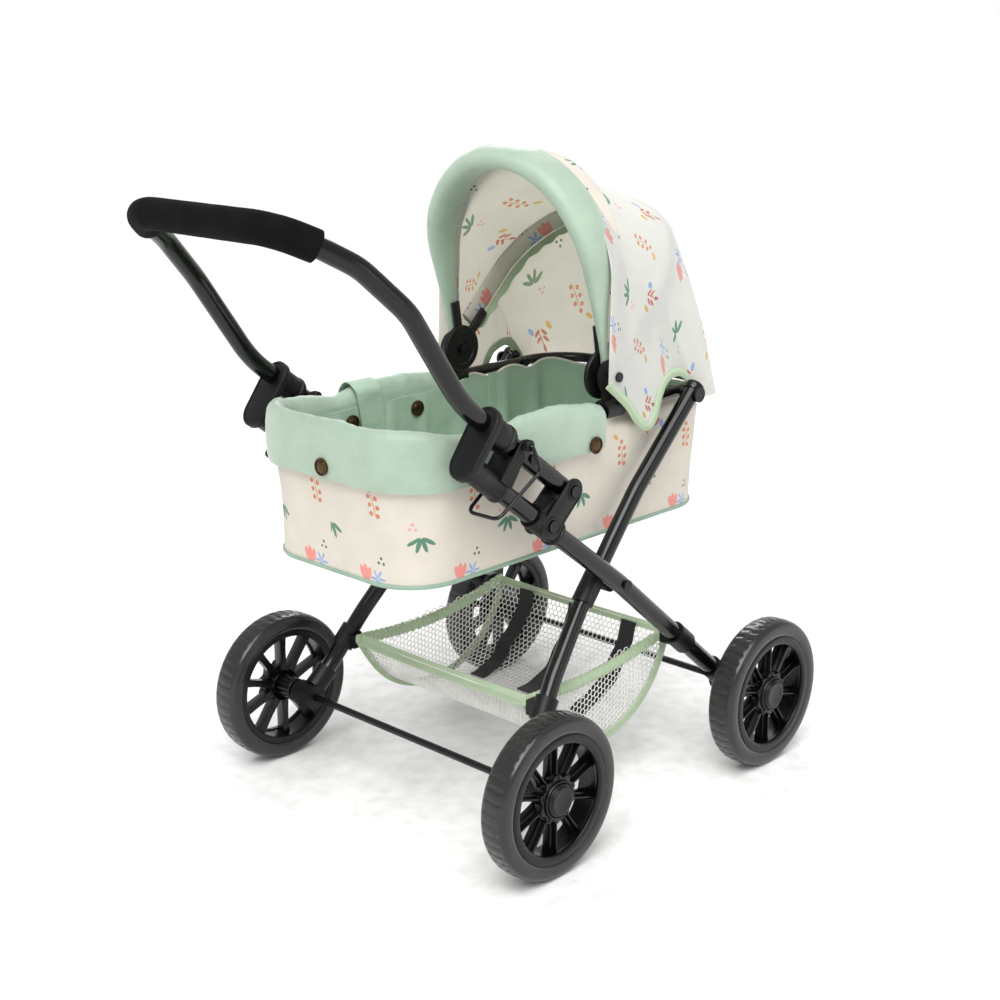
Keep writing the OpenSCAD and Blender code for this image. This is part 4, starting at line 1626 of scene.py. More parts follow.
@dataclass(frozen=True)
class Basket:
    """A net shopping basket hung between the legs, bound in green tape.

    Attributes:
        shop: The workshop.
        centre: x and z of the axis of the basket's round floor.
        radius: Radius of the floor.
        half_w: Distance of the side panels from the middle plane.
        rear: x and z of the rear top edge.
        front: x and z of the front top edge.
        pitch: Width of one cell of the net.
        strap_w: Width of the webbing straps.
    """

    shop: Shop
    centre: tuple[float, float] = (128.0, 139.0)
    radius: float = 89.2
    half_w: float = 97.4
    rear: tuple[float, float] = (40.0, 111.0)
    front: tuple[float, float] = (216.0, 122.0)
    pitch: float = 5.0
    strap_w: float = 16.0

    @property
    def start(self) -> float:
        """Angle of the rear top edge about the floor's axis."""
        return math.atan2(self.rear[1] - self.centre[1], self.rear[0] - self.centre[0]) % (2 * math.pi)

    @property
    def end(self) -> float:
        """Angle of the front top edge about the floor's axis."""
        return math.atan2(self.front[1] - self.centre[1], self.front[0] - self.centre[0]) % (2 * math.pi)

    def floor_point(self, angle: np.ndarray, y: np.ndarray, inset: float = 0.0) -> np.ndarray:
        """Places on the curved floor.

        Args:
            angle: Angles about the floor's axis.
            y: Distances from the middle plane.
            inset: Distance inside the floor.

        Returns:
            The places, with the cloth's slack between its edges.
        """
        share = (angle - self.start) / (self.end - self.start)
        slack = 1.6 * np.sin(math.pi * share) ** 2 * np.cos(y / self.half_w * math.pi / 2)
        rear_r = math.dist(self.rear, self.centre)
        front_r = math.dist(self.front, self.centre)
        reach = self.radius + (rear_r - self.radius) * np.clip(1 - share * 8, 0, 1) ** 2
        reach = reach + (front_r - self.radius) * np.clip(share * 8 - 7, 0, 1) ** 2 - slack - inset
        x, z = self.centre[0] + reach * np.cos(angle), self.centre[1] + reach * np.sin(angle)
        return np.stack([x, np.broadcast_to(y, angle.shape), z], -1)

    def cells(self, width: float, height: float, keep: Callable[[float, float], bool]) -> Shell:
        """A flat lattice of hexagons.

        Args:
            width: Extent along u.
            height: Extent along v, centred on 0.
            keep: Whether a cell centred there is wanted.

        Returns:
            A shell whose points are u, v and 0.
        """
        side = self.pitch / math.sqrt(3)
        found: dict[tuple[int, int], int] = {}
        shell = Shell()
        for i in range(int(width / (1.5 * side)) + 2):
            for j in range(int(height / self.pitch) + 3):
                u = i * 1.5 * side
                v = -height / 2 + (j + 0.5 * (i % 2)) * self.pitch
                if not keep(u, v):
                    continue
                face = []
                for k in range(6):
                    turn = math.pi * k / 3
                    corner = (u + side * math.cos(turn), v + side * math.sin(turn))
                    key = (round(corner[0] * 20), round(corner[1] * 20))
                    if key not in found:
                        found[key] = len(shell.points)
                        shell.points.append((corner[0], corner[1], 0.0))
                        shell.uvs.append(corner)
                    face.append(found[key])
                shell.faces.append(tuple(face))
        return shell

    def net(self) -> Shell:
        """The floor net and the two side nets as one mesh of hexagons.

        Returns:
            The shell, in millimetres.
        """
        length = self.radius * (self.end - self.start)
        width = 2 * self.half_w
        shell = Shell()
        flat = self.cells(length, width, lambda u, v: 0 <= u <= length and abs(v) <= self.half_w)
        rows = np.array(flat.points)
        angle = self.start + np.clip(rows[:, 0], 0, length) / self.radius
        floor = self.floor_point(angle, np.clip(rows[:, 1], -self.half_w, self.half_w))
        shell.add(floor, flat.faces, np.array(flat.uvs))
        slope = (self.front[1] - self.rear[1]) / (self.front[0] - self.rear[0])

        def inside(u: float, v: float) -> bool:
            """Whether a place on the side panel lies under its top edge and inside the floor."""
            x, z = self.rear[0] + u, self.centre[1] + v
            under = z < self.rear[1] + slope * (x - self.rear[0]) - 1
            return under and math.hypot(x - self.centre[0], z - self.centre[1]) < self.radius - 0.5

        panel = self.cells(self.front[0] - self.rear[0], 2 * self.radius, inside)
        for side in Side:
            rows = np.array(panel.points)
            x, z = self.rear[0] + rows[:, 0], self.centre[1] + rows[:, 1]
            lengthwise = np.sin(math.pi * np.clip((x - 40) / 176, 0, 1))
            bulge = 1.5 * lengthwise * np.sin(math.pi * np.clip((z - 50) / 65, 0, 1))
            y = side.value * (self.half_w - 2.0 + bulge)
            shell.add(np.stack([x, y, z], -1), panel.faces, np.array(panel.uvs))
        return shell

    def hung(self, obj: bpy.types.Object, slot: str, *nodes: str) -> bpy.types.Object:
        """Leaves a piece where it hangs between the front and the rear legs, its place baked into its mesh and on no
        body.

        Args:
            obj: The piece.
            slot: The record's material slot; not used.
            *nodes: CAD nodes that it stands for.

        Returns:
            The piece.
        """
        if nodes:
            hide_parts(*nodes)
        gauge = self.shop.gauge
        start, end = gauge.at(self.rear[0], 0, 115), gauge.at(self.front[0], 0, 115)
        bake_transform(obj)
        LOG.info("%s hung between the legs, %d faces", obj.name, len(obj.data.polygons))
        return obj

    def tape(self, line: np.ndarray, width: float, up: Sequence[float], thick: float = 1.3) -> Shell:
        """A flat tape along a line.

        Args:
            line: Its middle line.
            width: Its width.
            up: Direction of its thickness.
            thick: Its thickness.

        Returns:
            The tape's shell.
        """
        return sweep(line, 1.0, section=rounded_section(thick / 2, width / 2, (0.6, 0.35), 20), up=up)

    def elastic(self, side: Side) -> Shell:
        """The ruched elastic along the top of one side panel.

        Args:
            side: The side it is on.

        Returns:
            The shell, in millimetres.
        """
        y = side.value * (self.half_w + 1)
        ends = [(self.rear[0] - 3, y, self.rear[1] + 1), (self.front[0] + 2, y, self.front[1] + 1)]
        line = spaced(np.array(ends, float), 0.5)
        share = np.linspace(0, 1, len(line))
        line[:, 2] -= 9.0 * np.sin(math.pi * share)
        line[:, 1] -= side.value * 2.0 * np.sin(math.pi * share)
        length = np.linspace(0, 178, len(line))
        phase = length / 4.6 + 0.8 * np.sin(length / 17.0) + 0.4 * np.sin(length / 7.3)
        gathers = smooth_step(share / 0.06) * smooth_step((1 - share) / 0.06)
        radius = 3.3 + gathers * (1.25 * np.abs(np.sin(math.pi * phase)) - 0.2)
        section = rounded_section(1.25, 0.75, (1, 1), 20)
        return sweep(line, radius, section=section, up=(0, 0, 1))

    def straps(self) -> Shell:
        """Three webbing straps down the inside of the front wall.

        Returns:
            The shell, in millimetres.
        """
        shell = Shell()
        for n, y in enumerate((-60.0, 0.0, 60.0)):
            angle = np.linspace(1.56 * math.pi, self.end - 0.01, 60)
            length = self.radius * (angle - angle[0])
            wave = 1.3 * np.sin(length / 9.0 + n) + 0.8 * np.sin(length / 4.7 + 2 * n)
            shift = 1.2 * np.sin(length / 16.0 + 2.1 * n)
            across = np.linspace(-self.strap_w / 2, self.strap_w / 2, 7)
            grid = self.floor_point(angle[:, None] + 0 * across, y + shift[:, None] + across[None, :], 3.2)
            inward = np.stack([-np.cos(angle), 0 * angle, -np.sin(angle)], -1)
            grid = grid + inward[:, None] * (wave[:, None, None] + 1.3)
            uvs = cloth_pairs(length, across)
            shell.join(sheet_shell(grid, uvs))
        return shell

    def dress(self) -> None:
        """Builds the net, its bindings, the elastics and the straps."""
        shop = self.shop
        net = shop.build(self.net(), "basket_hex_net", WHITE_NET, 180)
        wires = net.modifiers.new("threads", "WIREFRAME")
        wires.thickness, wires.use_replace, wires.use_even_offset, wires.use_boundary = 0.95 * MM, True, False, True
        shop.settle(net)
        net.data.materials.clear()
        net.data.materials.append(WHITE_NET.build())
        shop.shade(net, 80)
        self.hung(net, "net", "basket_net")
        rims = Shell()
        for at, width, up in ((self.rear, 10.0, (-0.93, 0, 0.36)), (self.front, 7.0, (-0.8, 0, 0.6))):
            line = spaced(np.array([(at[0], -self.half_w - 1.5, at[1]), (at[0], self.half_w + 1.5, at[1])], float), 4)
            line[:, 2] -= 1.2 * np.cos(line[:, 1] / self.half_w * math.pi / 2)
            rims.join(self.tape(line, width, up))
        for side in Side:
            angle = np.linspace(self.start, self.end, 70)
            edge = self.floor_point(angle, np.full_like(angle, side.value * (self.half_w + 0.6)), -0.6)
            rims.join(self.tape(edge, 8.0, (0, side.value, 0), 1.4))
            edge = self.floor_point(angle, np.full_like(angle, side.value * (self.half_w - 3.4)), -0.9)
            inner = self.floor_point(angle, np.full_like(angle, side.value * (self.half_w + 0.8)), -0.9)
            rims.join(sheet_shell(np.stack([edge, inner], 1), cloth_pairs(angle * 89, np.array([0.0, 4.2]))))
        binding = shop.build(rims, "basket_green_binding", GREEN_BINDING, 50)
        self.hung(binding, "binding", "basket_binding")
        gathers = self.elastic(Side.LEFT)
        gathers.join(self.elastic(Side.RIGHT))
        elastics = shop.build(gathers, "basket_ruched_elastic", GREEN_BINDING, 60)
        self.hung(elastics, "binding")
        straps = shop.build(self.straps(), "basket_webbing_straps", BLACK_WEBBING, 60, thickness=1.1)
        self.hung(straps, "webbing", "basket_straps")


# ---------------------------------------------------------------- cot


@dataclass(frozen=True)
class Loop:
    """The rounded rectangle of the cot's rail, seen from above.

    Attributes:
        back: x of the rear run.
        front: x of the front run.
        half_w: Distance of the side runs from the middle plane.
        corner: Radius of the corners.
    """

    back: float = -72.0
    front: float = 288.0
    half_w: float = 89.0
    corner: float = 45.0

    @property
    def length(self) -> float:
        """Length once around."""
        straights = 2 * (self.front - self.back - 2 * self.corner) + 4 * (self.half_w - self.corner)
        return straights + 2 * math.pi * self.corner

    def trace(self, s: np.ndarray) -> tuple[np.ndarray, np.ndarray]:
        """Follows the loop from the middle of its rear run, towards the left side first.

        Args:
            s: Distances along the loop.

        Returns:
            Points x, y and outward normals.
        """
        side, end = self.front - self.back - 2 * self.corner, self.half_w - self.corner
        bend = math.pi * self.corner / 2
        x0, x1, y1, r = self.back + self.corner, self.front - self.corner, self.half_w - self.corner, self.corner
        runs = [
            (end, lambda t: (np.full_like(t, self.back), t), lambda t: (-1.0 + 0 * t, 0 * t)),
            (bend, lambda t: (x0 - r * np.cos(t / r), y1 + r * np.sin(t / r)),
             lambda t: (-np.cos(t / r), np.sin(t / r))),
            (side, lambda t: (x0 + t, np.full_like(t, self.half_w)), lambda t: (0 * t, 1.0 + 0 * t)),
            (bend, lambda t: (x1 + r * np.sin(t / r), y1 + r * np.cos(t / r)),
             lambda t: (np.sin(t / r), np.cos(t / r))),
            (2 * end, lambda t: (np.full_like(t, self.front), y1 - t), lambda t: (1.0 + 0 * t, 0 * t)),
            (bend, lambda t: (x1 + r * np.cos(t / r), -y1 - r * np.sin(t / r)),
             lambda t: (np.cos(t / r), -np.sin(t / r))),
            (side, lambda t: (x1 - t, np.full_like(t, -self.half_w)), lambda t: (0 * t, -1.0 + 0 * t)),
            (bend, lambda t: (x0 - r * np.sin(t / r), -y1 - r * np.cos(t / r)),
             lambda t: (-np.sin(t / r), -np.cos(t / r))),
            (end, lambda t: (np.full_like(t, self.back), -y1 + t), lambda t: (-1.0 + 0 * t, 0 * t)),
        ]
        s = np.asarray(s, float)
        points, normals = np.zeros((*s.shape, 2)), np.zeros((*s.shape, 2))
        at = 0.0
        for n, (length, place, facing) in enumerate(runs):
            last = n == len(runs) - 1
            here = (s >= at - 1e-9) & ((s < at + length) | (last & (s <= at + length + 1e-6)))
            t = s[here] - at
            points[here] = np.stack(place(t), -1)
            normals[here] = np.stack(facing(t), -1)
            at += length
        return points, normals

    def closing(self, s: np.ndarray, inset: float, share: float) -> np.ndarray:
        """Draws an inset loop in towards the middle line, to close a floor.

        Args:
            s: Distances along the loop.
            inset: How far inside the loop the floor starts.
            share: 0 at the loop and 1 at the middle line.

        Returns:
            Points x, y.
        """
        points, normals = self.trace(s)
        middle = np.clip(points[:, 0], self.back + self.half_w, self.front - self.half_w)
        outer = points - normals * inset
        return outer + (np.stack([middle, 0 * s], -1) - outer) * share

    def ring(self, s: np.ndarray, grow: np.ndarray | float, z: np.ndarray | float) -> np.ndarray:
        """Places around the loop, grown outwards and at a height.

        Args:
            s: Distances along the loop.
            grow: How far outside the loop.
            z: Height.

        Returns:
            The places in millimetres.
        """
        points, normals = self.trace(s)
        flat = points + normals * np.asarray(grow, float)[..., None]
        return np.concatenate([flat, np.broadcast_to(np.asarray(z, float), flat.shape[:-1])[..., None]], -1)


@dataclass(frozen=True)
class Cot:
    """The sewn cot: printed sides, mint lining, a soft cuff over the rail, and snaps.

    Attributes:
        shop: The workshop.
        loop: The rail's outline.
        base_z: Height of the cot's underside.
        rail_z: Height of the rail's middle line.
        rail_r: Radius of the rail.
        cuff_end: x where the cuff stops.
        bare_start: x where the rail shows again.
    """

    shop: Shop
    loop: Loop = Loop()
    base_z: float = 223.0
    rail_z: float = 328.0
    rail_r: float = 4.5
    cuff_end: float = 134.0
    bare_start: float = 160.0

    def marks(self, step: float) -> np.ndarray:
        """Even distances once around the loop, the first and last at the same place."""
        return np.linspace(0, self.loop.length, int(self.loop.length / step) + 1)

    def bare(self, s: np.ndarray) -> np.ndarray:
        """How far a place is past the cuff: 0 under it and 1 where the rail is bare."""
        points, _ = self.loop.trace(s)
        return smooth_step((points[..., 0] - self.cuff_end) / (self.bare_start - self.cuff_end))

    def side(self) -> Shell:
        """The outer printed cloth, from the rail down and across the underside.

        Returns:
            The shell, in millimetres.
        """
        s = self.marks(3.0)
        bare = self.bare(s)
        share = np.linspace(0, 1, 44)
        z_under = self.rail_z - self.rail_r - 1.6
        rows, uvs = [], []
        for t in share:
            z = self.base_z + 2.0 + (z_under - self.base_z - 2.0) * t
            grow = -2.6 + 6.8 * t
            inward = bare * smooth_step((t - 0.86) / 0.14) * 9.6
            ring = self.loop.ring(s, grow - inward, z)
            drape = 1.5 * math.sin(math.pi * min(1.0, t * 1.15)) * ripple(ring * (1, 1, 0.45), 46.0, 7.7)
            drape += 0.55 * math.sin(math.pi * t) * ripple(ring * (1, 1, 0.3), 17.0, 2.2)
            pull = -1.4 * math.sin(math.pi * t)
            _, normals = self.loop.trace(s)
            ring[:, :2] += normals * (drape + pull)[:, None]
            rows.append(ring)
            uvs.append(np.stack([s, np.full_like(s, z - self.base_z)], -1))
        for t in np.linspace(0, 1, 6)[1:]:
            tuck = 2.2 * (1 - math.cos(t * math.pi / 2))
            rows.insert(0, self.loop.ring(s, -2.6 - tuck, self.base_z + 2.0 - 2.0 * np.sin(t * math.pi / 2)))
            uvs.insert(0, np.stack([s, np.full_like(s, -2.5 * t)], -1))
        for t in np.linspace(0, 1, 9)[1:]:
            rows.insert(0, np.c_[self.loop.closing(s, 4.8, t), np.full(len(s), self.base_z)])
            uvs.insert(0, np.stack([s, np.full_like(s, -3.0 - 84.0 * t)], -1))
        top = self.lining_top(s, bare)
        for t in np.linspace(0, 1, 6)[1:]:
            grow = 4.2 - bare * (9.6 + 0.8 * t)
            z = z_under + bare * t * (top - z_under)
            rows.append(self.loop.ring(s, grow, z + 0.01 * t))
            uvs.append(np.stack([s, np.full_like(s, 98.0 + 12 * t)], -1))
        return sheet_shell(np.array(rows), np.array(uvs))

    def piping(self) -> Shell:
        """The green welt around the underside's edge.

        Returns:
            The shell, in millimetres.
        """
        s = self.marks(3.0)[:-1]
        line = self.loop.ring(s, -2.2 + 0.3 * ripple(self.loop.ring(s, 0, 0), 30.0, 4.0), self.base_z + 1.8)
        section = rounded_section(1.7, 1.2, (1, 1), 14)
        return sweep(line, 1.0, section=section, closed=True, up=(0, 0, 1))

    def cuff_marks(self) -> np.ndarray:
        """Distances along the loop that the cuff covers, from the left end round the rear to the right end.

        Returns:
            The distances, negative on the right.
        """
        loop = self.loop
        bend = math.pi * loop.corner / 2
        reach = (loop.half_w - loop.corner) + bend + self.cuff_end - loop.back - loop.corner
        return np.linspace(-reach, reach, int(2 * reach / 2.2) + 1)

    def cuff(self) -> Shell:
        """The mint cuff folded over the rail, puffed at the fold and loose at the hem.

        Returns:
            The shell, in millimetres.
        """
        marks = self.cuff_marks()
        s = marks % self.loop.length
        path = [
            (6.6, 298.6), (7.9, 304), (8.4, 312), (8.5, 320), (8.2, 327), (6.6, 333.2), (3.2, 337), (0, 338),
            (-3.4, 337), (-6.8, 333), (-8.6, 327), (-9.2, 320), (-9.0, 313), (-8.6, 306), (-8.0, 300),
        ]  # fmt: skip
        line = spaced(eased_path([(g, 0, z) for g, z in path], 6, 1.0), 1.6)
        rows, uvs = [], []
        lengths = run_lengths(line)
        base = self.loop.ring(s, 0, 0)
        crown = ripple(base, 26.0, 11.0)
        fine = ripple(base, 9.0, 5.0)
        wave = ripple(base, 60.0, 21.0)
        settle = np.interp(base[:, 0], (-80, -60, -31, 10, 43, 88, 124, 134), (5, 7, 1, -4.5, 3, 3, -2, -4))
        for (grow, _, z), length in zip(line, lengths):
            top = smooth_step((z - 322) / 14)
            outer = 1.0 if grow > 0 else 0.0
            hem = smooth_step((318 - z) / 20)
            puff = 0.9 * crown * (1 - 0.5 * hem) + 0.5 * fine * top
            lift = top * (settle + 1.3 * crown + 0.8 * fine)
            drop = hem * (1.6 * wave * outer)
            ring = self.loop.ring(s, grow + puff * np.sign(grow if abs(grow) > 1 else 0.0), z + lift + drop)
            rows.append(ring)
            uvs.append(np.stack([marks, np.full_like(marks, length)], -1))
        grid = np.array(rows)
        ends = smooth_step((np.minimum(marks - marks[0], marks[-1] - marks)) / 5.0)
        middle = self.loop.ring(s, 0.0, 320.0)
        grid = grid + (middle[None] - grid) * (0.05 * (1 - ends))[None, :, None]
        return sheet_shell(grid, np.array(uvs))

    def lining_top(self, s: np.ndarray, bare: np.ndarray) -> np.ndarray:
        """Height of the lining's upper edge: tucked under the cuff, and peaked where the rail is bare.

        Args:
            s: Distances along the loop.
            bare: What bare gives for them.

        Returns:
            The heights.
        """
        points, _ = self.loop.trace(s)
        ahead = (points[:, 0] - 163) / 50.0
        peaks = 5.5 * np.abs(np.cos(math.pi * ahead)) ** 1.6 + 1.0 * ripple(self.loop.ring(s, 0, 0), 22.0, 9.0)
        return (1 - bare) * 322.0 + bare * (self.rail_z - self.rail_r - 1.0 + peaks)

    def lining(self) -> Shell:
        """The mint lining with its sewn folds.

        Returns:
            The shell, in millimetres.
        """
        s = self.marks(2.4)
        bare = self.bare(s)
        top = self.lining_top(s, bare)
        floor = self.base_z + 9.0
        base = self.loop.ring(s, 0, 0)
        _, normals = self.loop.trace(s)
        fold = 0.5 + 0.5 * np.sin(2 * math.pi * s / 47.0 + 1.4 * ripple(base, 60.0, 15.0))
        crease = np.maximum(0, fold) ** 3
        rows, uvs = [], []
        for t in np.linspace(0, 1, 40):
            z = floor + (top - floor) * t
            grow = -7.6 + (-9.4 + 7.6) * t * (1 - bare) + bare * t * 0.6
            depth = 1.2 + 5.0 * bare * (1 - 0.6 * t) + 2.0 * (1 - bare)
            depth = depth * math.sin(math.pi * min(1.0, 0.12 + t * 0.8))
            ring = self.loop.ring(s, grow - depth * crease, z)
            ring[:, :2] += -0.8 * normals * (ripple(ring, 20.0, 31.0) * math.sin(math.pi * t * 0.9))[:, None]
            rows.append(ring)
            uvs.append(np.stack([s, z - floor], -1))
        for t in np.linspace(0, 1, 16)[1:]:
            height = floor - 0.6 * math.sin(math.pi * t)
            rows.insert(0, np.c_[self.loop.closing(s, 8.4, t), np.full(len(s), height)])
            uvs.insert(0, np.stack([s, np.full_like(s, -84.0 * t)], -1))
        return sheet_shell(np.array(rows), np.array(uvs))

    def edge_piping(self) -> Shell:
        """Cream piping on the lining's free upper edge where the rail is bare.

        Returns:
            The shell, in millimetres.
        """
        s = self.marks(2.0)
        bare = self.bare(s)
        keep = bare > 0.55
        line = self.loop.ring(s, -6.7, self.lining_top(s, bare) + 0.6)[keep]
        order = np.argsort(s[keep])
        return sweep(line[order], 1.1, 10)

    def rail(self) -> Shell:
        """The round rail all the way around."""
        s = self.marks(3.0)[:-1]
        return sweep(self.loop.ring(s, 0.0, self.rail_z), self.rail_r, 24, closed=True, up=(0, 0, 1))

    def snap(self, centre: Sequence[float], out: Sequence[float]) -> Shell:
        """One press stud: a rolled ring around a domed cap.

        Args:
            centre: Its middle.
            out: Direction it faces.

        Returns:
            The shell, in millimetres.
        """
        out = np.asarray(out, float)
        across = np.cross(out, (0.0, 0.0, 1.0))
        profile = [
            (0, -0.8), (6.6, -0.8), (7.0, 0.2), (6.8, 1.1), (6.2, 1.5), (5.6, 1.2), (5.3, 0.5), (4.9, 0.45), (4.4, 1.1),
            (3.0, 1.55), (1.4, 1.75), (0, 1.8),
        ]  # fmt: skip
        return placed(lathe(profile, 40), centre, across, np.cross(out, across))

    def band(self) -> Shell:
        """A wide strap over the cuff and a narrow one beside the bare rail, both on the left side.

        Returns:
            The shell, in millimetres.
        """
        shell = Shell()
        over = [(38, 98.8, 300), (38, 98.8, 334), (38, 89, 344.5), (40, 79.0, 335), (44, 77.6, 306), (50, 76.4, 236)]
        plain = [(193, 82.4, 326), (192, 81.2, 300), (190, 80.2, 236)]
        for corners, half in ((over, 13.0), (plain, 9.0)):
            route = spaced(eased_path(corners, 6, 1.5), 2.0)
            across = np.linspace(-half, half, 15)
            grid = route[:, None] + np.stack([across, 0 * across, 0 * across], -1)[None]
            grid[..., 1] -= 0.5 * np.cos(across / half * 1.4)[None] + 1.1 * ripple(grid, 18.0, 8.0)
            down = np.linspace(0, 2.3 * len(route), len(route))
            uvs = np.stack(np.broadcast_arrays(across[None], down[:, None]), -1)
            shell.join(sheet_shell(grid, uvs))
        return shell

    def dress(self) -> None:
        """Builds every sewn piece of the cot."""
        shop, body = self.shop, Body.COT.value
        rail = shop.piece(self.rail(), "cot_rail_hoop", GLOSS_TUBE, 60, body, "tube_black", "cot_rail")
        side = shop.piece(
            self.side(), "cot_printed_side", PRINTED, 70, body, "print_fabric", "cot_shell", "cot_front_rim",
            thickness=0.9, lift=-1,
        )  # fmt: skip
        welt = shop.piece(self.piping(), "cot_base_welt", SAGE_WELT, 60, body, "binding")
        lining = shop.piece(
            self.lining(), "cot_mint_lining", MINT, 75, body, "mint_fabric", "cot_lining", thickness=0.7, lift=1
        )
        trim = shop.piece(self.edge_piping(), "cot_lining_piping", CREAM_PIPING, 60, body, "print_fabric")
        cuff = shop.piece(
            self.cuff(), "cot_soft_cuff", MINT_SATIN, 75, body, "mint_fabric", "cot_cuff", thickness=1.0, lift=-1
        )
        strap = shop.piece(self.band(), "cot_sewn_band", MINT, 75, body, "mint_fabric", thickness=0.9)
        studs = Shell()
        for x in (-12.0, 120.0):
            for sign in (1, -1):
                studs.join(self.snap((x, sign * 98.6, 304), (0, sign, 0)))
        for x in (21.7, 94.7):
            for sign in (1, -1):
                studs.join(self.snap((x, sign * 78.6, 310), (0, -sign, 0)))
        studs.join(self.snap((-81.6, -4, 309), (-1, 0, 0)))
        studs.join(self.snap((-60.4, 14, 300), (1, 0, 0)))
        snaps = shop.piece(studs, "cot_press_studs", BRASS_SNAP, 40, body, "snap", "snap_buttons")


# ---------------------------------------------------------------- hood


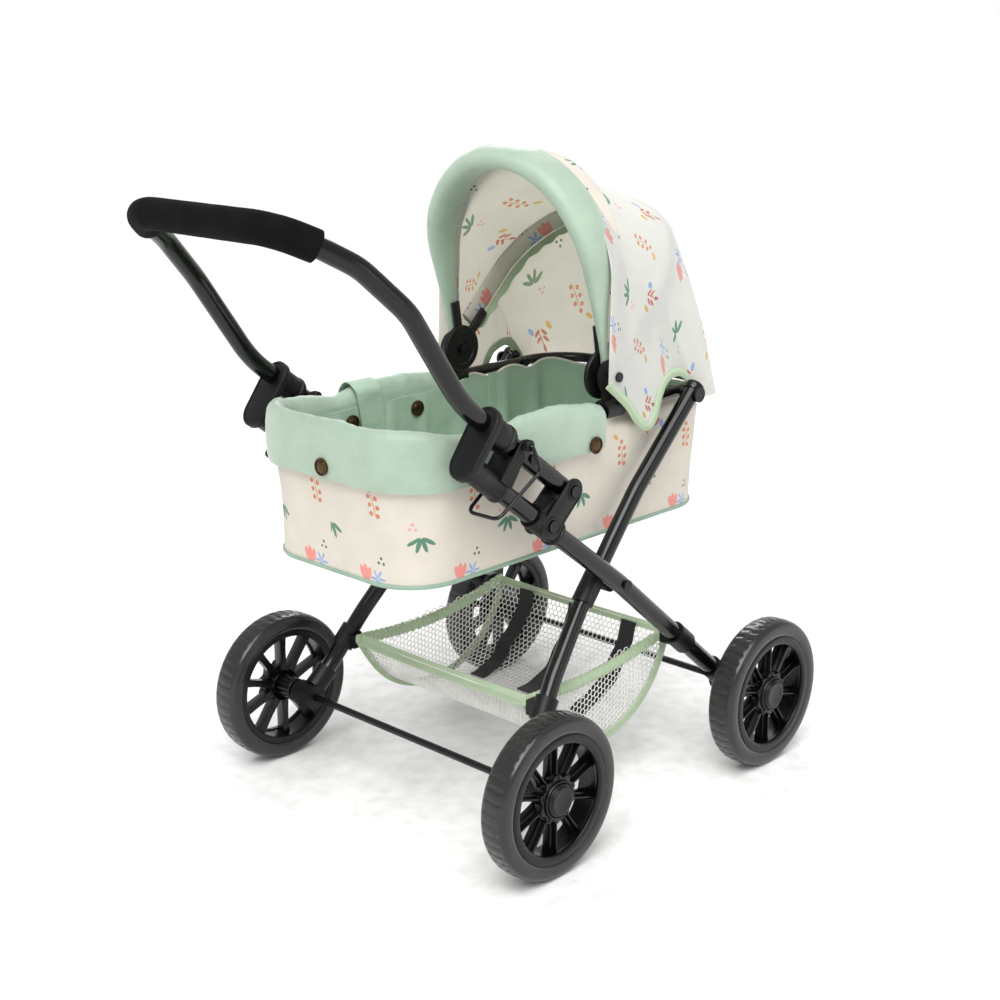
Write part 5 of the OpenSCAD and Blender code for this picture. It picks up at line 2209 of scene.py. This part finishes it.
@dataclass(frozen=True)
class Hood:
    """The folding hood: one cloth over two bows, with a padded front arch.

    Attributes:
        shop: The workshop.
        hub: x and z of the hub that the bows turn about.
        leg: Straight part of each bow above the hub.
        arch_r: Radius of the front arch.
        cloth_r: Half width of the cloth.
        front_lean: Lean of the front arch in degrees.
        mid_lean: Lean of the middle bow in degrees.
    """

    shop: Shop
    hub: tuple[float, float] = (148.0, 354.0)
    leg: float = 79.7
    arch_r: float = 90.0
    cloth_r: float = 95.8
    front_lean: float = -9.0
    mid_lean: float = 45.0

    def lean(self, rows: np.ndarray, degrees: float) -> np.ndarray:
        """Turns places given as forward, y and up from the hub by a lean, into the stroller.

        Args:
            rows: Places beside the hub.
            degrees: The lean, forwards.

        Returns:
            The places in millimetres.
        """
        turn = math.radians(degrees)
        rows = np.asarray(rows, float)
        return np.stack(
            [
                self.hub[0] + rows[..., 0] * math.cos(turn) + rows[..., 2] * math.sin(turn),
                rows[..., 1],
                self.hub[1] - rows[..., 0] * math.sin(turn) + rows[..., 2] * math.cos(turn),
            ],
            -1,
        )

    def arch(self, turn: np.ndarray, radius: float, degrees: float) -> np.ndarray:
        """A round arch over both sides.

        Args:
            turn: Angles from the left foot over the top.
            radius: Its radius.
            degrees: Its lean.

        Returns:
            The places in millimetres.
        """
        rows = np.stack([0 * turn, radius * np.cos(turn), self.leg + radius * np.sin(turn)], -1)
        return self.lean(rows, degrees)

    def bow_line(self, lean: float, radius: float, foot: float, straight: float, step: float = 3.0) -> np.ndarray:
        """The line of a bow from its left foot over the top to its right foot.

        Args:
            lean: Its lean in degrees.
            radius: Radius of its round top.
            foot: Where it starts above the hub.
            straight: Where the round top starts above the hub.
            step: Spacing of the points.

        Returns:
            The line.
        """
        turn = np.linspace(0, math.pi, int(math.pi * radius / step))
        arc = np.stack([0 * turn, radius * np.cos(turn), straight + radius * np.sin(turn)], -1)
        legs = np.array([[0, radius, foot]]), np.array([[0, -radius, foot]])
        return self.lean(spaced(np.concatenate([legs[0], arc, legs[1]]), step), lean)

    def cross_axes(self, line: np.ndarray, degrees: float) -> tuple[np.ndarray, np.ndarray]:
        """Directions across a bow.

        Args:
            line: The bow's line.
            degrees: Its lean.

        Returns:
            The direction square to its plane, and one square to its line at each point.
        """
        lean = math.radians(degrees)
        forward = np.array([math.cos(lean), 0.0, -math.sin(lean)])
        return forward, unit(np.cross(forward, unit(np.gradient(line, axis=0))))

    def hem(self, share: float) -> np.ndarray:
        """The lower edge of the near panel, as x, half width and height.

        Args:
            share: 0 at the front arch and 1 at the tail.

        Returns:
            The place.
        """
        stations = [
            (0.00, 137, 96.6, 349), (0.10, 148, 97.2, 340), (0.20, 160, 98.6, 329), (0.28, 168, 100.2, 317),
            (0.36, 177, 101.0, 309.5), (0.42, 185, 100.6, 308), (0.46, 191, 99.6, 314), (0.50, 196, 98.6, 329),
            (0.54, 202, 98.0, 335), (0.66, 216, 97.6, 330), (0.80, 232, 97.6, 325.5), (1.00, 246, 98.0, 322),
        ]  # fmt: skip
        table = np.array(stations)
        return np.array([np.interp(share, table[:, 0], table[:, k]) for k in (1, 2, 3)])

    def tail_line(self, count: int) -> np.ndarray:
        """The lower edge over the front of the rail, from the left side round to the right.

        Args:
            count: Number of points.

        Returns:
            The line.
        """
        corners = [
            (246, 98.0, 322), (268, 98.5, 319), (286, 93, 318), (300, 72, 321), (306, 40, 327), (307, 0, 331),
        ]  # fmt: skip
        right = [(x, -y, z) for x, y, z in reversed(corners[:-1])]
        return resampled(spaced(eased_path([*corners, *right], 22, 2.0), 2.0), count)

    def cloth_grid(self) -> tuple[np.ndarray, np.ndarray]:
        """The canopy's outer surface.

        Returns:
            Points by station and place along the arch, and their cloth coordinates.
        """
        stations, skirt, arc = 64, 14, 90
        top = np.linspace(0, math.pi, arc)
        tail = self.tail_line(arc)
        rear_arch = self.arch(top, self.cloth_r, self.front_lean + 3.0)
        mid_arch = self.arch(top, self.cloth_r - 1, self.mid_lean)
        rows, uvs = [], []
        split = 0.50
        for share in np.linspace(0, 1, stations):
            if share <= split:
                t = share / split
                arch = rear_arch + (mid_arch - rear_arch) * t
                sag = math.sin(math.pi * t)
                pinch = 3.2 * sag * np.sin(top) ** 0.5
                arch[:, 2] -= pinch * 0.9
                arch[:, 1] *= 1 - 0.018 * sag
            else:
                t = (share - split) / (1 - split)
                arch = mid_arch + (tail - mid_arch) * t
                sag = math.sin(math.pi * t)
                bulge = 7.0 * sag * np.sin(top) ** 0.8
                arch[:, 0] += bulge
                arch[:, 2] += bulge * 0.35
                arch[:, 1] += 2.5 * sag * np.sign(np.cos(top)) * np.abs(np.cos(top)) ** 2
            hem_x, hem_y, hem_z = self.hem(share)
            left = np.linspace(0, 1, skirt, endpoint=False)[:, None]
            low_left, low_right = np.array([hem_x, hem_y, hem_z]), np.array([hem_x, -hem_y, hem_z])
            up = low_left + (arch[0] - low_left) * left
            down = (low_right + (arch[-1] - low_right) * left)[::-1]
            if share > split:
                fade = 1 - (share - split) / (1 - split)
                up = arch[0] + (up - arch[0]) * max(fade, 0.02)
                down = arch[-1] + (down - arch[-1]) * max(fade, 0.02)
            row = np.concatenate([up, arch, down])
            rows.append(row)
            lengths = run_lengths(row)
            uvs.append(np.stack([lengths - lengths[-1] / 2, np.full(len(row), share * 225.0)], -1))
        grid, cloth = np.array(rows), np.array(uvs)
        fold = ripple(grid * (0.4, 0.6, 1), 34.0, 41.0)
        fine = ripple(grid * (1, 0.7, 0.5), 13.0, 17.0)
        share = np.linspace(0, 1, stations)[:, None]
        loose = 0.35 + 0.65 * np.sin(math.pi * share) ** 2
        side = np.abs(np.linspace(-1, 1, grid.shape[1]))[None] ** 2
        out = unit(grid - np.array([190, 0, 380.0]))
        grid = grid + out * (loose * (1.5 * fold + 0.5 * fine) * (0.4 + 1.0 * side))[..., None]
        return grid, cloth

    def canopy(self) -> Shell:
        """The printed cloth."""
        grid, cloth = self.cloth_grid()
        return sheet_shell(grid, cloth)

    def hem_binding(self) -> Shell:
        """Mint binding around the cloth's whole free edge.

        Returns:
            The shell, in millimetres.
        """
        grid, _ = self.cloth_grid()
        smooth = spaced(np.concatenate([grid[:, 0], grid[-1, 1:-1], grid[::-1, -1]]), 2.2)
        for _ in range(2):
            smooth[1:-1] = (smooth[:-2] + 2 * smooth[1:-1] + smooth[2:]) / 4
        section = rounded_section(1.3, 3.7, (0.7, 0.5), 18)
        out = smooth - np.array([200, 0, 350.0])
        out[:, 2] *= 0.15
        out = unit(out)
        ahead = unit(np.gradient(smooth, axis=0))
        normal = unit(out - ahead * np.sum(out * ahead, axis=1)[:, None])
        across = np.cross(ahead, normal)
        ring = section[None, :, 0, None] * normal[:, None] + section[None, :, 1, None] * across[:, None]
        wave = 0.5 * ripple(smooth, 9.0, 3.0)
        tucked = smooth_step((smooth[:, 0] - 240) / 25)
        ring = ring * (1 - 0.5 * tucked)[:, None, None]
        place = smooth + normal * (wave - 2.2 * tucked)[:, None] + np.array([0, 0, 1.0]) * (3.4 * tucked)[:, None]
        points = place[:, None] + ring
        lengths = run_lengths(smooth)
        uvs = cloth_pairs(lengths, np.linspace(0, 16, 18))
        return cap_ends(sheet_shell(points, uvs, wrap_cols=True), len(section))

    def pad(self) -> Shell:
        """The padded arch: a soft flat roll that narrows to its feet.

        Returns:
            The shell, in millimetres.
        """
        line = self.bow_line(self.front_lean, self.arch_r - 4.6, 6, self.leg + 5.6, 2.2)
        lengths = run_lengths(line)
        share = lengths / lengths[-1]
        rise = smooth_step(np.minimum(share, 1 - share) / 0.30)
        width = 4.5 + 13.0 * rise
        depth = 3.4 + 6.0 * rise
        turn = full_turn(36)
        forward, out = self.cross_axes(line, self.front_lean)
        centre = np.array([line[:, 0].mean(), 0, self.hub[1] + 60])
        flip = np.sign(np.sum(out * (line - centre), axis=1))
        out *= flip[:, None]
        c, s = np.cos(turn), np.sin(turn)
        squared_c, squared_s = squarer(c, 0.8), squarer(s, 0.9)
        points = beside(line, forward, squared_c[None] * width[:, None], out, squared_s[None] * depth[:, None])
        lumps = ripple(points, 30.0, 2.0) * 0.8 + ripple(points, 8.0, 6.0) * 0.25
        points = points + lumps[..., None] * out[:, None]
        uvs = cloth_pairs(lengths, turn * 12)
        return cap_ends(sheet_shell(points, uvs, wrap_cols=True), len(turn))

    def sleeve(self, degrees: float, radius: float, half: float, thick: float) -> Shell:
        """A flat cloth sleeve along one bow, inside the hood.

        Args:
            degrees: The bow's lean.
            radius: Radius of the sleeve's line.
            half: Half its width.
            thick: Half its thickness.

        Returns:
            The sleeve.
        """
        turn = full_turn(26)
        line = self.bow_line(degrees, radius, 28, self.leg, 2.6)
        forward, out = self.cross_axes(line, degrees)
        wave = ripple(line, 15.0, 12.0)
        wide = np.cos(turn)[None] * half + 0.6 * wave[:, None]
        deep = np.sin(turn)[None] * thick + 0.4 * wave[:, None]
        points = beside(line, forward, wide, out, deep)
        lengths = run_lengths(line)
        uvs = cloth_pairs(lengths, turn * 6.2)
        return cap_ends(sheet_shell(points, uvs, wrap_cols=True), len(turn))

    def ruffle(self) -> Shell:
        """The green gathered edge of the middle sleeve.

        Returns:
            The shell, in millimetres.
        """
        line = self.bow_line(self.mid_lean, self.cloth_r - 7.6, 24, self.leg, 1.6)
        forward, _ = self.cross_axes(line, self.mid_lean)
        inward = unit(self.lean(np.array([[0.0, 0.0, self.leg]]), self.mid_lean)[0] - line)
        lengths = run_lengths(line)
        wave = np.sin(lengths / 3.4 + 1.5 * np.sin(lengths / 19.0)) + 0.5 * np.sin(lengths / 7.7)
        across = np.linspace(0, 1, 8)
        wide = 8.0 + 0.6 * wave[:, None] * across[None]
        deep = 2.0 + 9.0 * across[None] * (1 + 0.06 * wave[:, None])
        points = beside(line, forward, wide, inward, deep)
        uvs = cloth_pairs(lengths, across * 9)
        return sheet_shell(points, uvs)

    def hub_discs(self) -> Shell:
        """The moulded hubs on both sides, with a dished face, two sockets and a screw seat.

        Returns:
            The shell, in millimetres.
        """
        disc = lathe(
            [(0, 0), (4.6, 0), (4.8, 1.2), (7.2, 1.6), (7.8, 0.6), (13.4, 0.4), (14.2, -0.4), (18.6, -0.6),
             (19.8, 0.4), (20.0, 3.0), (19.4, 3.9), (0, 3.9)],
            64,
        )  # fmt: skip
        shell = Shell()
        for lean in (self.front_lean, self.mid_lean):
            turn = math.radians(lean)
            arm = slab(np.array([(-4.2, 14), (4.2, 14), (4.2, 41), (-4.2, 41)]), 0.4, 4.0, 1.0)
            points = np.array(arm.points)
            c, s = math.cos(turn), math.sin(turn)
            x, y, z = points.T
            local = np.stack([x * c + y * s, y * c - x * s, z], -1)
            shell.add(local, arm.faces)
        shell.join(disc)
        left = shell.turned((0, 2, 1), (self.hub[0], 77.4, self.hub[1]))
        left.join(mirrored(left))
        return left

    def dress(self) -> None:
        """Builds the hood's cloth, padding and hubs."""
        shop = self.shop
        gauge = shop.gauge
        canopy = shop.build(self.canopy(), "hood_printed_canopy", HOOD_CANVAS, 60, thickness=0.8, lift=-1)
        edge = shop.build(self.hem_binding(), "hood_mint_binding", GREEN_BINDING, 60)
        for piece, slot in ((canopy, "print_fabric"), (edge, "binding")):
            start, end = gauge.at(262, 0, 400), gauge.at(140, 0, 440)
            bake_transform(piece)
        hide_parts("hood_canopy")
        pad = shop.build(self.pad(), "hood_padded_arch", MINT_SATIN, 60)
        shop.mount(pad, Body.HOOD_FRONT.value, "mint_fabric", "hood_front_pad")
        front, middle = Body.HOOD_FRONT.value, Body.HOOD_MID.value
        facing = self.sleeve(self.front_lean + 11.0, self.cloth_r - 5.0, 8.0, 1.0)
        shop.piece(facing, "hood_front_facing", PRINTED, 60, front, "print_fabric")
        tube = self.sleeve(self.mid_lean, self.cloth_r - 6.4, 9.0, 3.2)
        sleeve = shop.piece(tube, "hood_bow_sleeve", PRINTED, 60, middle, "print_fabric", "hood_mid_bow")
        shop.piece(self.ruffle(), "hood_green_ruffle", GREEN_BINDING, 60, middle, "binding", thickness=0.7)
        hubs = self.hub_discs()
        shop.piece(hubs, "hood_moulded_hubs", MATTE_PLASTIC, 35, Body.COT.value, "plastic_black", "hood_hub_discs")


# ---------------------------------------------------------------- studio


@dataclass(frozen=True)
class Studio:
    """A pale sweep of floor, soft lights and the camera.

    Attributes:
        gauge: The frame's gauge.
        eye: Camera place in millimetres from the rear axle.
        yaw: Camera heading from +y towards +x, in radians.
        pitch: Camera tilt down, in radians.
        roll: Camera roll in radians.
        lens: Focal length in millimetres.
        floor_reach: Half the floor's width in metres.
    """

    gauge: Gauge
    eye: tuple[float, float, float] = (-837.7, -912.5, 628.4)
    yaw: float = 0.806
    pitch: float = 0.286
    roll: float = -0.004
    lens: float = 59.26
    floor_reach: float = 300.0

    def camera(self) -> None:
        """Places the camera."""
        data = bpy.data.cameras.new("studio_camera")
        data.lens, data.sensor_width = self.lens, 36.0
        obj = bpy.data.objects.new("studio_camera", data)
        bpy.context.scene.collection.objects.link(obj)
        level = math.cos(self.pitch)
        look = Vector((math.sin(self.yaw) * level, math.cos(self.yaw) * level, -math.sin(self.pitch)))
        right = look.cross(Vector((0, 0, 1))).normalized()
        up = right.cross(look)
        c, s = math.cos(self.roll), math.sin(self.roll)
        right, up = c * right + s * up, -s * right + c * up
        turned = Matrix((right, up, -look)).transposed().to_4x4()
        obj.matrix_world = Matrix.Translation(self.gauge.at(*self.eye)) @ turned
        bpy.context.scene.camera = obj

    def lamp(self, name: str, place: Sequence[float], size: float, power: float) -> None:
        """Hangs one soft area light.

        Args:
            name: The light's name.
            place: Its place in metres.
            size: Its width in metres.
            power: Its power in watts.
        """
        data = bpy.data.lights.new(name, "AREA")
        data.shape, data.size, data.energy = "DISK", size, power
        obj = bpy.data.objects.new(name, data)
        bpy.context.scene.collection.objects.link(obj)
        obj.location = place
        obj.rotation_euler = (Vector((0.05, 0, 0.25)) - Vector(place)).to_track_quat("-Z", "Y").to_euler()

    def build(self) -> None:
        """Builds the floor, the lights, the world and the camera."""
        mesh = bpy.data.meshes.new("studio_floor")
        reach = self.floor_reach
        corners = [(-reach, -reach, 0), (reach, -reach, 0), (reach, reach, 0), (-reach, reach, 0)]
        mesh.from_pydata(corners, [], [(0, 1, 2, 3)])
        floor = bpy.data.objects.new("studio_floor", mesh)
        bpy.context.scene.collection.objects.link(floor)
        floor.data.materials.append(STUDIO_FLOOR.build())
        world = bpy.data.worlds.new("pale_room")
        bpy.context.scene.world = world
        world.use_nodes = True
        world.node_tree.nodes["Background"].inputs["Color"].default_value = (1.0, 1.0, 1.0, 1.0)
        nodes, links = world.node_tree.nodes, world.node_tree.links
        height = nodes.new("ShaderNodeSeparateXYZ")
        links.new(nodes.new("ShaderNodeTexCoord").outputs["Generated"], height.inputs[0])
        fall = nodes.new("ShaderNodeMapRange")
        for index, value in ((1, 0.02), (2, 0.3), (3, 1.0), (4, 0.54)):
            fall.inputs[index].default_value = value
        links.new(height.outputs[2], fall.inputs[0])
        links.new(fall.outputs[0], nodes["Background"].inputs["Strength"])
        sun = bpy.data.lights.new("soft_daylight", "SUN")
        sun.energy, sun.angle = 2.3, math.radians(50)
        hung = bpy.data.objects.new("soft_daylight", sun)
        bpy.context.scene.collection.objects.link(hung)
        hung.rotation_euler = Vector((0.45, 0.35, -1.0)).to_track_quat("-Z", "Y").to_euler()
        self.lamp("key_softbox", (-1.3, -0.9, 1.9), 1.1, 8)
        self.lamp("fill_softbox", (0.4, -2.1, 1.0), 1.0, 2)
        self.lamp("rim_softbox", (1.5, 1.4, 1.6), 0.9, 11)
        bpy.context.scene.view_settings.view_transform = "Standard"
        self.camera()


# ---------------------------------------------------------------- main


def main() -> None:
    """Loads the frame, dresses it piece by piece and lights it."""
    logging.basicConfig(level=logging.INFO, format="%(name)s: %(message)s")
    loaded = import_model()
    shop = Shop(gauge_from_frame())
    Wheels(shop).dress()
    Frame(shop).dress(loaded)
    Basket(shop).dress()
    Cot(shop).dress()
    Hood(shop).dress()
    Studio(shop.gauge).build()


if __name__ == "__main__":
    main()
